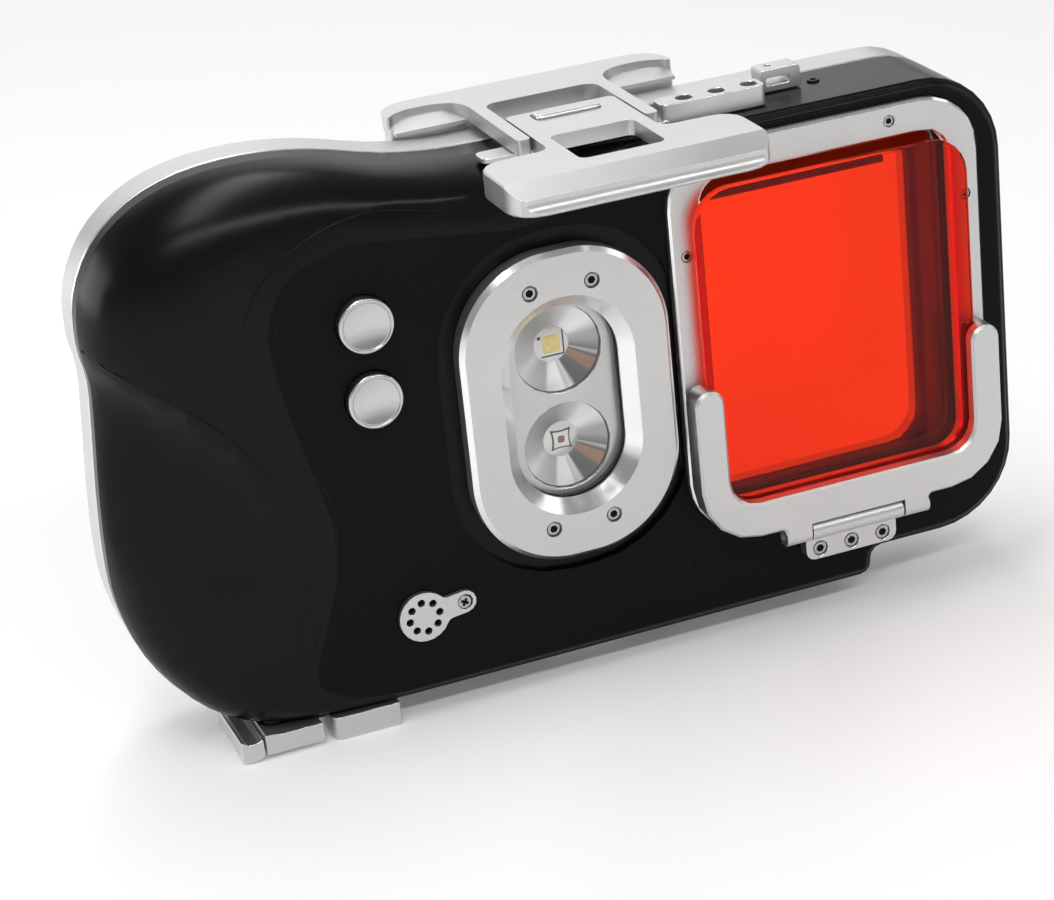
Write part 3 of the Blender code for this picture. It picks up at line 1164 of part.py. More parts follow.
def door_hinge():
    half = HINGE_LENGTH / 2 * HINGE_CENTRE_SHARE - GAP
    leaf = box("door_hinge_leaf", (HINGE_X - half, HINGE_X + half), (SPLIT_Y - 12 * MM, SPLIT_Y - 0.6 * MM),
               (HINGE_Z + 0.6 * MM, BODY_BOTTOM_Z - GAP), ALUMINIUM)
    barrel = cylinder("leaf_barrel_join", (HINGE_X, HINGE_Y, HINGE_Z), HINGE_RADIUS, 2 * half, "X", sides=20)
    bore = cylinder("leaf_pin_cut", (HINGE_X, HINGE_Y, HINGE_Z), HINGE_PIN_RADIUS + GAP,
                    2 * HINGE_LENGTH, "X", sides=16)
    boolean(leaf, barrel, "UNION")
    boolean(leaf, bore)
    cylinder("door_hinge_pin", (HINGE_X, HINGE_Y, HINGE_Z), HINGE_PIN_RADIUS, HINGE_LENGTH - 1 * MM, "X",
             STEEL, sides=16)


def charging_door():
    """The small door over the charging socket, its hinge block and its latch."""
    low_y, high_y = CHARGE_Y
    top = BODY_BOTTOM_Z - GAP
    axis_x = CHARGE_BLOCK_X[0] + CHARGE_HINGE_RADIUS + 0.2 * MM
    axis_z = CHARGE_HINGE_RADIUS + 0.6 * MM
    left, right = CHARGE_BLOCK_X
    outline = filleted([(left, top, 0), (left, 0.0, 0.8 * MM), (right, 0.0, 1.6 * MM), (right, top, 0)], 4)
    block = slab("charge_hinge_block", outline, low_y, high_y, finish=ALUMINIUM)
    plan = filleted([(left, low_y, 2.4 * MM), (right, low_y, 0.5 * MM), (right, high_y, 0.5 * MM),
                     (left, high_y, 2.4 * MM)], 4)
    rounding = slab("block_plan_cut", plan, -1 * MM, BODY_BOTTOM_Z, "Z")
    boolean(block, rounding, "INTERSECT")
    knuckle_room = CHARGE_HINGE_RADIUS + 0.5 * MM
    third = (high_y - low_y) / 3
    inner = (low_y + third, high_y - third)
    room = box("charge_knuckle_cut", (left - 2 * MM, axis_x + knuckle_room), (inner[0], inner[1]),
               (-2 * MM, BODY_BOTTOM_Z + 2 * MM))
    pin_front = low_y + 1.4 * MM
    pin_room = cylinder("charge_pin_cut", (axis_x, (pin_front + 2 * high_y) / 2, axis_z),
                        CHARGE_PIN_RADIUS + GAP, 2 * high_y - pin_front, "Y", sides=12)
    boolean(block, [room, pin_room])
    door_low = 1.2 * MM
    door_top = door_low + CHARGE_DOOR_THICKNESS
    free, near = CHARGE_DOOR_X
    plate = filleted([(free, door_top + 0.5 * MM, 0.3 * MM), (free, door_low, 0.5 * MM),
                      (near, door_low, 0.8 * MM), (near, door_top, 0.3 * MM),
                      (free + 4 * MM, door_top, 0)], 3)
    door = slab("charge_door", plate, low_y, high_y, finish=ALUMINIUM)
    knuckle = cylinder("charge_knuckle_join", (axis_x, (low_y + high_y) / 2, axis_z), CHARGE_HINGE_RADIUS,
                       inner[1] - inner[0] - 2 * GAP, "Y", sides=20)
    strap = box("charge_strap_join", (near - 1 * MM, axis_x), (inner[0] + GAP, inner[1] - GAP),
                (axis_z - 1.0 * MM, axis_z + 1.0 * MM))
    boolean(door, [knuckle, strap], "UNION")
    seal_z = door_top
    seal_mid = (CHARGE_X, CHARGE_MID_Y)
    across, deep = SOCKET_WIDTH, SOCKET_DEPTH
    seal_room = slab("charge_seal_cut", rounded(seal_mid, across + 3.6 * MM, deep + 7 * MM, 3 * MM, 3),
                     seal_z - 0.9 * MM, seal_z + 2 * MM, "Z",
                     holes=[rounded(seal_mid, across + 0.6 * MM, deep + 3.4 * MM, 1.5 * MM, 3)])
    door_pin_room = cylinder("charge_door_pin_cut", (axis_x, CHARGE_MID_Y, axis_z), CHARGE_PIN_RADIUS + GAP,
                             2 * high_y, "Y", sides=12)
    boolean(door, [seal_room, door_pin_room])
    slab("charge_door_seal", rounded(seal_mid, across + 3.2 * MM, deep + 6.6 * MM, 2.8 * MM, 3),
         seal_z - 0.7 * MM, seal_z, "Z", RUBBER,
         holes=[rounded(seal_mid, across + 1.0 * MM, deep + 3.8 * MM, 1.7 * MM, 3)])
    set_axis(door, (axis_x, (low_y + high_y) / 2, axis_z))
    cylinder("charge_door_pin", (axis_x, (pin_front + high_y) / 2, axis_z), CHARGE_PIN_RADIUS,
             high_y - pin_front - 2 * GAP, "Y", STEEL, sides=12)
    base = BODY_BOTTOM_Z + GAP
    socket = box("charge_socket", socket_span(across, CHARGE_X, 0), socket_span(deep, CHARGE_MID_Y, 0),
                 (base, base + SOCKET_LENGTH), STEEL)
    mouth = slab("socket_mouth_cut",
                 rounded(seal_mid, across - SOCKET_WALL, deep - SOCKET_WALL, deep / 2, 3),
                 base - 1 * MM, base + SOCKET_LENGTH - 2 * MM, "Z",
                 holes=[rounded(seal_mid, across - 3 * MM, SOCKET_WALL, SOCKET_WALL / 4, 1)])
    boolean(socket, mouth)
    charge_latch(low_y, high_y)


def charge_latch(low_y, high_y):
    """The catch at the door's free end: a small rounded block, hollowed at its top for a nail."""
    left, right = CHARGE_LATCH_X
    outline = filleted([(left, 0.3 * MM, 1.6 * MM), (right, 0.6 * MM, 1.2 * MM), (right, 5.5 * MM, 0.3 * MM),
                        (right - 1.3 * MM, 4.9 * MM, 1.0 * MM), (left + 1.5 * MM, 4.9 * MM, 1.0 * MM),
                        (left, 6.1 * MM, 0.3 * MM)], 4)
    latch = slab("charge_latch", outline, low_y, high_y, finish=ALUMINIUM)
    set_axis(latch, (left + 1.4 * MM, (low_y + high_y) / 2, CHARGE_CATCH_Z))


def phone_bay():
    """Tray, sprung clamp and pads that hold the phone behind the port."""
    near, far = BAY_Y
    wall = 3.0 * MM
    left, right = CAVITY_LEFT_X + 2 * GAP, CAVITY_RIGHT_X - 2 * GAP
    low = CAVITY_BOTTOM_Z + 2 * GAP
    high = CAVITY_TOP_Z - CAVITY_RADIUS + 2 * MM
    radius = CAVITY_RADIUS
    outline = filleted([(left, high, 1 * MM), (left, low, radius), (right, low, radius),
                        (right, high, 1 * MM), (right - wall, high, 1 * MM),
                        (right - wall, low + wall, radius - wall),
                        (left + wall, low + wall, radius - wall), (left + wall, high, 1 * MM)], 4)
    slab("phone_cradle", outline, near, far, finish=BLACK)
    inside = (left + wall + radius, right - wall - radius)
    shelf = low + wall + GAP
    box("cradle_pad", inside, (near + GAP, far - GAP), (shelf, shelf + 1.4 * MM), RUBBER)
    bar = (left + wall + RUNNING_GAP, right - wall - RUNNING_GAP)
    clamp_z = shelf + 1.4 * MM + PHONE_HEIGHT + 1.7 * MM
    clamp = rounded((sum(bar) / 2, clamp_z + 2 * MM), bar[1] - bar[0], 4 * MM, 1 * MM, 3)
    slab("cradle_clamp", clamp, near + GAP, far - GAP, finish=BLACK)
    box("clamp_pad", inside, (near + GAP, far - GAP), (clamp_z - GAP - 1.4 * MM, clamp_z - GAP), RUBBER)


def electronics():
    near = CAVITY_FRONT_Y + GAP
    middle_z = sum(LAMP_BUTTON_Z) / 2
    outline = rounded((LAMP_BUTTON_X + 2 * MM, middle_z - 12 * MM), 28 * MM, 60 * MM, 2 * MM, 3)
    board = slab("control_board", outline, near, near + 1.4 * MM, finish=BOARD)
    switches = []
    for index, z in enumerate(LAMP_BUTTON_Z):
        switches.append(cylinder(f"lamp_switch_join_{index + 1}", (LAMP_BUTTON_X, near, z),
                                 LAMP_STEM_RADIUS - 0.2 * MM, 1.6 * MM, sides=12))
    boolean(board, switches, "UNION")
    box("battery_pack", (LAMP_X - 26 * MM, LAMP_X + 28 * MM), (near, near + 5.4 * MM),
        (CAVITY_BOTTOM_Z + 1.2 * MM, CAVITY_BOTTOM_Z + 21 * MM), CELL, bevel=0.8 * MM)


def underside():
    for index, x in enumerate(FOOT_X):
        height = BODY_BOTTOM_Z - GAP
        cylinder(("left_foot", "right_foot")[index], (x, FOOT_Y, height / 2), FOOT_RADIUS, height, "Z",
                 RUBBER, sides=24)
    bush = cylinder("tripod_bush", (TRIPOD_X, TRIPOD_Y, BODY_BOTTOM_Z + TRIPOD_DEPTH / 2), TRIPOD_RADIUS,
                    TRIPOD_DEPTH, "Z", STEEL, sides=28)
    bore = cylinder("tripod_bore_cut", (TRIPOD_X, TRIPOD_Y, BODY_BOTTOM_Z), TRIPOD_BORE,
                    2 * TRIPOD_DEPTH - 2 * MM, "Z", sides=20)
    boolean(bush, bore)


front_casing()
port_frame()
port_glazing()
lamp_bezel()
lamp_optics()
lamp_buttons()
sensor()
filter_hinge()
filter_holder()
latch_slider()
latch_fork()
latch_rail()
lanyard_bracket()
rear_door()
door_fittings()
door_hinge()
charging_door()
phone_bay()
electronics()
underside()
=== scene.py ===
import json
import math

import bmesh
import bpy
from mathutils import Matrix, Vector
from mathutils.bvhtree import BVHTree


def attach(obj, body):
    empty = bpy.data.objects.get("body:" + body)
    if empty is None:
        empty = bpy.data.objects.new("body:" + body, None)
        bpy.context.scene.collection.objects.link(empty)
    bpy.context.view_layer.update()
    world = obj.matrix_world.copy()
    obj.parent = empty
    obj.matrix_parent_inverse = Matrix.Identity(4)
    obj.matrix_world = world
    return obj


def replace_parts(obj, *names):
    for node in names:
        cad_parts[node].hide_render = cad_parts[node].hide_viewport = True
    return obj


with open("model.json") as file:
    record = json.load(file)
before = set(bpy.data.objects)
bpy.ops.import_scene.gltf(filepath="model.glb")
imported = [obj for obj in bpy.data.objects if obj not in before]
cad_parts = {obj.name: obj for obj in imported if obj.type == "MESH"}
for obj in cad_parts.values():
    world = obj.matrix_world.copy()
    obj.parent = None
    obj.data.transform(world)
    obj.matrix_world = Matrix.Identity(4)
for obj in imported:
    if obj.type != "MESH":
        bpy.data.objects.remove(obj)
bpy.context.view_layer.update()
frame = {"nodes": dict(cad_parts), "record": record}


# Studio. A white paper sweep under strip lights overhead and in front, with soft boxes behind and
# at both sides, so that metal shines white and black stays deep. The paper and the horizon glow
# for camera, glossy and transmission rays alone: they are seen and mirrored, but light nothing.
def studio_light(name, place, aim, size, power):
    """An area lamp that points at a spot; all in metres and watts."""
    data = bpy.data.lights.new(name, "AREA")
    data.shape = "RECTANGLE"
    data.size, data.size_y = size
    data.energy = power
    lamp = bpy.data.objects.new(name, data)
    bpy.context.scene.collection.objects.link(lamp)
    lamp.location = place
    lamp.rotation_mode = "QUATERNION"
    lamp.rotation_quaternion = (Vector(aim) - Vector(place)).to_track_quat("-Z", "Y")


MIDDLE = (0, 0, 0.06)
SHOULDER = (0, 0, 0.08)
studio_light("overhead_strip", (-0.10, 0.06, 0.95), MIDDLE, size=(1.2, 0.2), power=4.9)
studio_light("front_strip", (0.02, -0.74, 0.80), SHOULDER, size=(1.3, 0.08), power=4.4)
studio_light("back_soft_box", (0.10, 1.15, 0.75), MIDDLE, size=(1.5, 0.8), power=3.9)
studio_light("grip_side_soft_box", (-1.10, 0.45, 0.30), MIDDLE, size=(0.9, 0.5), power=6.4)
studio_light("port_side_soft_box", (1.0, -0.35, 0.6), MIDDLE, size=(0.6, 0.7), power=1.4)


def math_node(tree, operation, *values):
    """A Math node's result; each value is a number or another node's output."""
    node = tree.nodes.new("ShaderNodeMath")
    node.operation = operation
    for socket, value in zip(node.inputs, values):
        if isinstance(value, (int, float)):
            socket.default_value = value
        else:
            tree.links.new(value, socket)
    return node.outputs[0]


def background_rays(tree):
    """1 for camera, glossy and transmission rays, and 0 for all others."""
    ray = tree.nodes.new("ShaderNodeLightPath").outputs
    seen = math_node(tree, "MAXIMUM", ray["Is Camera Ray"], ray["Is Glossy Ray"])
    return math_node(tree, "MAXIMUM", seen, ray["Is Transmission Ray"])


def smooth_step(tree, value, reach, levels):
    """Passes smoothly from one level to another while a value runs over its reach."""
    step = tree.nodes.new("ShaderNodeMapRange")
    step.interpolation_type = "SMOOTHSTEP"
    for name, number in zip(("From Min", "From Max", "To Min", "To Max"), (*reach, *levels)):
        step.inputs[name].default_value = number
    tree.links.new(value, step.inputs["Value"])
    return step.outputs["Result"]


WHITE = (1, 1, 1, 1)
ROOM_LIGHT = 0.28
HORIZON_GLOW = 0.45
world = bpy.data.worlds.new("pale_studio")
bpy.context.scene.world = world
world.use_nodes = True
room = world.node_tree
rise = room.nodes.new("ShaderNodeSeparateXYZ")
room.links.new(room.nodes.new("ShaderNodeTexCoord").outputs["Generated"], rise.inputs[0])
horizon = smooth_step(room, rise.outputs["Z"], reach=(0.03, 0.20), levels=(HORIZON_GLOW, 0.0))
level = math_node(room, "MULTIPLY_ADD", horizon, background_rays(room), ROOM_LIGHT)
room.nodes["Background"].inputs["Color"].default_value = WHITE
room.links.new(level, room.nodes["Background"].inputs["Strength"])

PAPER_REACH = 6.0
sweep = bmesh.new()
bmesh.ops.create_grid(sweep, x_segments=2, y_segments=2, size=PAPER_REACH)
sweep_mesh = bpy.data.meshes.new("studio_sweep")
sweep.to_mesh(sweep_mesh)
sweep.free()
floor = bpy.data.objects.new("studio_sweep", sweep_mesh)
bpy.context.scene.collection.objects.link(floor)
paper = bpy.data.materials.new("white_paper")
paper.use_nodes = True
pulp = paper.node_tree
matt = pulp.nodes["Principled BSDF"]
matt.inputs["Base Color"].default_value = (0.82, 0.82, 0.82, 1)
matt.inputs["Roughness"].default_value = 0.9
matt.inputs["Specular IOR Level"].default_value = 0.1
matt.inputs["Emission Color"].default_value = WHITE
away = pulp.nodes.new("ShaderNodeVectorMath")
away.operation = "LENGTH"
pulp.links.new(pulp.nodes.new("ShaderNodeTexCoord").outputs["Object"], away.inputs[0])
bright = smooth_step(pulp, away.outputs["Value"], reach=(0.6, 2.4), levels=(0.12, 0.72))
glow = math_node(pulp, "MULTIPLY", background_rays(pulp), bright)
pulp.links.new(glow, matt.inputs["Emission Strength"])
floor.data.materials.append(paper)

# A long lens, above the housing and to the left of it.
camera_data = bpy.data.cameras.new("product_camera")
camera_data.sensor_width = 36.0
camera_data.lens = 106.22
camera_data.shift_x = -0.0167
camera_data.shift_y = -0.0011
camera_data.clip_start = 0.05
camera_data.clip_end = 20.0
camera = bpy.data.objects.new("product_camera", camera_data)
bpy.context.scene.collection.objects.link(camera)
camera.matrix_world = Matrix((
    (0.926027, 0.227555, -0.301154, -0.2216),
    (-0.365038, 0.336912, -0.867893, -0.6171),
    (-0.096031, 0.913624, 0.395055, 0.3361),
    (0.0, 0.0, 0.0, 1.0)))
bpy.context.scene.camera = camera
bpy.context.scene.view_settings.view_transform = "Standard"


# Bead-blasted aluminium. Every silver piece is milled, its edges are broken with a fine chamfer
# that the cutter leaves bright, and the flats are blasted to an even satin and clear anodised.
def node_material(name, colour, metallic, roughness, specular=0.5):
    """A material with its node tree and its shader, which holds these values."""
    made = bpy.data.materials.new(name)
    made.use_nodes = True
    made.diffuse_color = (*colour, 1)
    shader = made.node_tree.nodes["Principled BSDF"]
    shader.inputs["Base Color"].default_value = (*colour, 1)
    shader.inputs["Metallic"].default_value = metallic
    shader.inputs["Roughness"].default_value = roughness
    shader.inputs["Specular IOR Level"].default_value = specular
    return made, made.node_tree, shader


def piece_noise(tree, place, scale, detail):
    """Noise that is fixed to the piece; place is a Texture Coordinate node."""
    noise = tree.nodes.new("ShaderNodeTexNoise")
    noise.inputs["Scale"].default_value = scale
    noise.inputs["Detail"].default_value = detail
    tree.links.new(place.outputs["Object"], noise.inputs["Vector"])
    return noise.outputs["Fac"]


def rough_skin(tree, place, shader, scale, depth, strength, detail=3.0):
    """A fine bump from noise; depth is in metres."""
    bump = tree.nodes.new("ShaderNodeBump")
    bump.inputs["Strength"].default_value = strength
    bump.inputs["Distance"].default_value = depth
    tree.links.new(piece_noise(tree, place, scale, detail), bump.inputs["Height"])
    tree.links.new(bump.outputs["Normal"], shader.inputs["Normal"])


def uneven_sheen(tree, place, shader, scale, low, high):
    """Lets the roughness drift between two values; the noise lies mostly from 0.3 to 0.7."""
    spread = tree.nodes.new("ShaderNodeMapRange")
    spread.inputs["From Min"].default_value = 0.3
    spread.inputs["From Max"].default_value = 0.7
    spread.inputs["To Min"].default_value = low
    spread.inputs["To Max"].default_value = high
    tree.links.new(piece_noise(tree, place, scale, detail=4.0), spread.inputs["Value"])
    tree.links.new(spread.outputs["Result"], shader.inputs["Roughness"])


def two_tone(tree, place, shader, scale, first, second):
    """Lets the colour drift between two colours over the piece."""
    ramp = tree.nodes.new("ShaderNodeValToRGB")
    for stop, position, tone in zip(ramp.color_ramp.elements, (0.35, 0.65), (first, second)):
        stop.position = position
        stop.color = (*tone, 1)
    tree.links.new(piece_noise(tree, place, scale, detail=5.0), ramp.inputs["Fac"])
    tree.links.new(ramp.outputs["Color"], shader.inputs["Base Color"])


def worked(name, colour, metallic, roughness, specular=0.5, *, skin, sheen, tones=None):
    """A finish with a fine bump, an uneven sheen and, if tones are given, an uneven colour.

    skin is (scale, depth, strength), sheen is (scale, lowest and highest roughness), and tones
    is (scale, first and second colour)."""
    made, tree, shader = node_material(name, colour, metallic, roughness, specular)
    place = tree.nodes.new("ShaderNodeTexCoord")
    rough_skin(tree, place, shader, *skin)
    uneven_sheen(tree, place, shader, *sheen)
    if tones:
        two_tone(tree, place, shader, *tones)
    return made


blasted = worked("blasted_aluminium", (0.61, 0.61, 0.60), metallic=1.0, roughness=0.42,
                 skin=(5200, 0.00002, 0.35), sheen=(60, 0.38, 0.46),
                 tones=(5000, (0.59, 0.59, 0.585), (0.64, 0.64, 0.63)))
bright_edge = worked("bright_chamfer", (0.9, 0.9, 0.9), metallic=1.0, roughness=0.16,
                     skin=(1500, 0.00002, 0.3), sheen=(200, 0.12, 0.24))

# From here on places and sizes are in the drawing's millimetres. The drawing has the port ring's
# front at y = 0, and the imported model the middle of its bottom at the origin, so all is moved.
MM = 0.001
DRAWING = Vector((-0.2, -9.7, 0.0)) * MM
record = frame["record"]
bodies = record["behaviour"]["bodies"]
body_with = {node: body for body, nodes in bodies.items() for node in nodes}


def link_piece(name, data, node, *finishes):
    """Adds a mesh that rides with the body of the CAD node it belongs to."""
    piece = bpy.data.objects.new(name, data)
    bpy.context.scene.collection.objects.link(piece)
    for finish in finishes:
        piece.data.materials.append(finish)
    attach(piece, body_with[node])
    return piece


def milled(name, node, *finishes, edge, segments=2, angle=32, polished=None):
    """A CAD node's solid with its flats made whole again and its edges broken.

    Edges that turn by more than angle degrees get a chamfer of edge millimetres in the last
    finish, and polished tells which faces have that finish too."""
    data = frame["nodes"][node].data.copy()
    data.materials.clear()
    shape = bmesh.new()
    shape.from_mesh(data)
    bmesh.ops.remove_doubles(shape, verts=shape.verts, dist=0.002 * MM)
    bmesh.ops.dissolve_limit(shape, angle_limit=math.radians(1.0), verts=shape.verts,
                             edges=shape.edges)
    for face in shape.faces:
        face.normal_update()
        face.material_index = 1 if polished and polished(face) else 0
        face.smooth = True
    shape.to_mesh(data)
    shape.free()
    data.set_sharp_from_angle(angle=math.radians(angle))
    piece = link_piece(name, data, node, *finishes)
    if edge:
        broken = piece.modifiers.new("broken_edges", "BEVEL")
        broken.width = edge * MM
        broken.segments = segments
        broken.limit_method = "ANGLE"
        broken.angle_limit = math.radians(angle)
        broken.material = 1 if len(finishes) > 1 else -1
    flats = piece.modifiers.new("true_flats", "WEIGHTED_NORMAL")
    flats.keep_sharp = True
    flats.weight = 90
    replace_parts(piece, node)


# Front casing. One block of aluminium, milled to a palm swell with a finger scallop under a
# sharp diagonal crease, and anodised black: matt on the working face, satin where a hand holds it.
black_face = worked("black_matt_anodising", (0.0035, 0.0035, 0.0037), metallic=0.0,
                    roughness=0.42, specular=0.09,
                    skin=(2600, 0.00003, 0.3), sheen=(35, 0.38, 0.46))
black = worked("black_satin_anodising", (0.0030, 0.0030, 0.0032), metallic=0.0,
               roughness=0.27, specular=0.155,
               skin=(2600, 0.00003, 0.3), sheen=(30, 0.24, 0.29))


def off_working_face(face):
    """Whether a face of the casing is tilted, or lies behind the flat front."""
    return face.normal.y > -0.999 or face.calc_center_median().y > DRAWING.y + 2 * MM


milled("casing_body", "front_casing", black_face, black, edge=0, angle=24,
       polished=off_working_face)


def raised_line(name, thick, points):
    """A fine black bead along points (x, z) of the casing's front view, laid on its front."""
    skin = bmesh.new()
    skin.from_mesh(frame["nodes"]["front_casing"].data)
    casing_front = BVHTree.FromBMesh(skin)
    skin.free()
    curve = bpy.data.curves.new(name + "_path", "CURVE")
    curve.dimensions = "3D"
    curve.bevel_depth = thick * MM
    curve.bevel_resolution = 2
    curve.resolution_u = 6
    line = curve.splines.new("BEZIER")
    line.bezier_points.add(len(points) - 1)
    well_ahead = -30.0
    proud = Vector((0, 0.35 * thick, 0)) * MM
    for knot, (x, z) in zip(line.bezier_points, points):
        start = Vector((x, well_ahead, z)) * MM + DRAWING
        knot.co = casing_front.ray_cast(start, Vector((0, 1, 0)))[0] + proud
        knot.handle_left_type = knot.handle_right_type = "AUTO"
    carrier = bpy.data.objects.new(name + "_path", curve)
    data = bpy.data.meshes.new_from_object(carrier)
    bpy.data.objects.remove(carrier)
    data.name = name
    for face in data.polygons:
        face.use_smooth = True
    data.materials.clear()
    link_piece(name, data, "front_casing", black)


raised_line("panel_outer_line", 0.22, (
    (22.4, 114.0), (8.0, 116.4), (-6.0, 117.0), (-19.1, 117.9), (-28.2, 119.4), (-37.1, 121.4),
    (-43.4, 122.3), (-49.6, 121.8), (-55.9, 120.2), (-62.6, 117.2), (-68.1, 113.2), (-72.4, 108.0),
    (-75.0, 101.7), (-75.9, 97.3), (-75.5, 89.0), (-73.8, 81.6), (-70.9, 72.6), (-67.6, 62.8),
    (-65.4, 55.4), (-65.7, 45.7), (-68.8, 36.6), (-72.3, 27.6), (-74.6, 18.1), (-73.3, 11.4)))
raised_line("panel_inner_line", 0.16, (
    (-60.0, 112.0), (-65.4, 106.5), (-68.6, 97.9), (-69.2, 92.2), (-67.6, 80.1), (-64.7, 67.4),
    (-61.1, 59.2), (-60.8, 49.4), (-63.9, 37.8), (-68.2, 26.5), (-70.9, 17.1), (-67.5, 9.5)))
raised_line("grip_ridge", 0.4, (
    (-106.6, 99.0), (-103.2, 96.4), (-99.3, 93.4), (-93.0, 88.9), (-86.3, 83.5), (-79.8, 76.1),
    (-75.1, 69.5), (-71.4, 62.7)))
raised_line("panel_right_seam", 0.14, ((22.4, 16.0), (22.4, 29.0)))


# Screws. Low stainless heads, each in its own counterbore, apart from a black one that lies on
# the casing's top; most take a hexagon key, and the sensor's takes a cross-head driver.
steel = worked("stainless_steel", (0.46, 0.46, 0.45), metallic=1.0, roughness=0.28,
               skin=(1800, 0.00002, 0.3), sheen=(300, 0.22, 0.36))
shade = worked("socket_shadow", (0.012, 0.012, 0.012), metallic=0.6, roughness=0.6, specular=0.2,
               skin=(1500, 0.00003, 0.3), sheen=(300, 0.5, 0.7))


def hexagon(angle, reach):
    """How far from the middle a hexagon socket's wall stands in a direction."""
    return reach / math.cos((angle % (math.pi / 3)) - math.pi / 6)


def cross(angle, reach, slot=0.36):
    """The same for a cross recess; slot is half a slot's width as a share of its reach."""
    lean = (angle + math.pi / 4) % (math.pi / 2) - math.pi / 4
    if abs(math.tan(lean)) < slot:
        return reach / math.cos(lean)
    return slot * reach / abs(math.sin(lean))


def link_shape(name, shape, node, *finishes, sharp=None):
    """Makes a bmesh a piece; its edges are crisp where it turns by more than sharp degrees."""
    data = bpy.data.meshes.new(name)
    shape.to_mesh(data)
    shape.free()
    if sharp:
        data.set_sharp_from_angle(angle=math.radians(sharp))
    return link_piece(name, data, node, *finishes)


def screw_head(name, node, place, radius, length, *, reach=0.5, turn=0.0, key=hexagon,
               up=False, finish=steel):
    """A screw's head with its face at a point of the drawing and a recess for the key.

    It points forward, or up; reach is the recess's size as a share of the head's radius."""
    radius, length = radius * MM, length * MM
    shape = bmesh.new()
    bmesh.ops.create_cone(shape, cap_ends=True, segments=48, radius1=radius, radius2=radius,
                          depth=length, matrix=Matrix.Translation((0, 0, -length / 2)))
    top = max(shape.faces, key=lambda face: face.calc_center_median().z)
    bmesh.ops.bevel(shape, geom=list(top.edges), offset=0.16 * radius, affect="EDGES",
                    segments=3, profile=0.5, material=-1)
    top = max(shape.faces,
              key=lambda face: (round(face.calc_center_median().z, 7), len(face.verts)))
    bmesh.ops.inset_region(shape, faces=[top], thickness=0.1 * radius)
    for vert in top.verts:
        angle = math.atan2(vert.co.y, vert.co.x)
        wall = key(angle + turn, reach * radius)
        vert.co.x, vert.co.y = wall * math.cos(angle), wall * math.sin(angle)
    recess = bmesh.ops.extrude_face_region(shape, geom=[top])["geom"]
    sunk = [item for item in recess if isinstance(item, bmesh.types.BMVert)]
    bmesh.ops.translate(shape, verts=sunk, vec=(0, 0, -0.6 * length))
    for face in shape.faces:
        face.smooth = abs(face.normal.z) < 0.9
    for item in recess:
        if isinstance(item, bmesh.types.BMFace):
            item.material_index = 1
    # The face that the recess was sunk from still covers it.
    bmesh.ops.delete(shape, geom=[top], context="FACES_ONLY")
    if not up:
        bmesh.ops.rotate(shape, verts=shape.verts, cent=(0, 0, 0),
                         matrix=Matrix.Rotation(math.pi / 2, 3, "X"))
    bmesh.ops.translate(shape, verts=shape.verts, vec=Vector(place) * MM + DRAWING)
    bmesh.ops.recalc_face_normals(shape, faces=shape.faces)
    link_shape(name, shape, node, finish, shade, sharp=35)


# Camera port. A flat blasted ring held by eight socket screws, a rubber gasket behind it and a
# thick clear glass let into the casing.
PORT_X, PORT_Z = 62.9, 74.8
SUNK_HEAD_Y = 0.15


def front_chamfer(face):
    """Whether a face of the ring slopes back from its front."""
    return -0.95 < face.normal.y < -0.25


def four_corners(x, z, across, rise):
    """The points this far to both sides of a centre and this far above and below it."""
    return [(x + side * across, z + end * rise) for side in (-1, 1) for end in (-1, 1)]


milled("port_ring", "port_frame", blasted, bright_edge, edge=0.12, polished=front_chamfer)
above_and_below = four_corners(PORT_X, PORT_Z, across=16.7, rise=43.5)
at_the_sides = four_corners(PORT_X, PORT_Z, across=35.15, rise=22.3)
for index, (x, z) in enumerate(above_and_below + at_the_sides):
    screw_head(f"port_screw_{index + 1}", "port_frame", (x, SUNK_HEAD_Y, z), radius=1.22,
               length=0.7, reach=0.56, turn=0.3 * index)

rubber = worked("black_rubber_moulding", (0.012, 0.012, 0.012), metallic=0.0, roughness=0.75,
                specular=0.3, skin=(700, 0.00008, 0.4), sheen=(90, 0.65, 0.85))
milled("port_seal_ring", "port_gasket", rubber, edge=0.15)


def clear_material(name, colour, shadow, ior=1.5, gloss=0.5):
    """Clear glass or plastic; its shadow is tinted and not black."""
    made, tree, shader = node_material(name, colour, metallic=0.0, roughness=0.0, specular=gloss)
    shader.inputs["Transmission Weight"].default_value = 1.0
    shader.inputs["IOR"].default_value = ior
    through = tree.nodes.new("ShaderNodeBsdfTransparent")
    through.inputs["Color"].default_value = (*shadow, 1)
    path = tree.nodes.new("ShaderNodeLightPath")
    mix = tree.nodes.new("ShaderNodeMixShader")
    tree.links.new(path.outputs["Is Shadow Ray"], mix.inputs[0])
    tree.links.new(shader.outputs[0], mix.inputs[1])
    tree.links.new(through.outputs[0], mix.inputs[2])
    tree.links.new(mix.outputs[0], tree.nodes["Material Output"].inputs["Surface"])
    place = tree.nodes.new("ShaderNodeTexCoord")
    uneven_sheen(tree, place, shader, scale=60, low=0.0, high=0.012)
    return made


clear_glass = clear_material("port_optical_glass", (1.0, 1.0, 1.0), shadow=(0.9, 0.9, 0.9))
milled("port_pane", "port_glass", clear_glass, edge=0.3)


# Twin lamp. A thick blasted ring with a bevelled opening and four cap screws, a clear pane over a
# blasted face plate, and the heat spreader and board behind them.
LAMP_X, LAMP_Z = -3.6, 69.0
LAMP_FACE_Y = -2.0
RING_STEPS = 96
RING_SHARP = 25


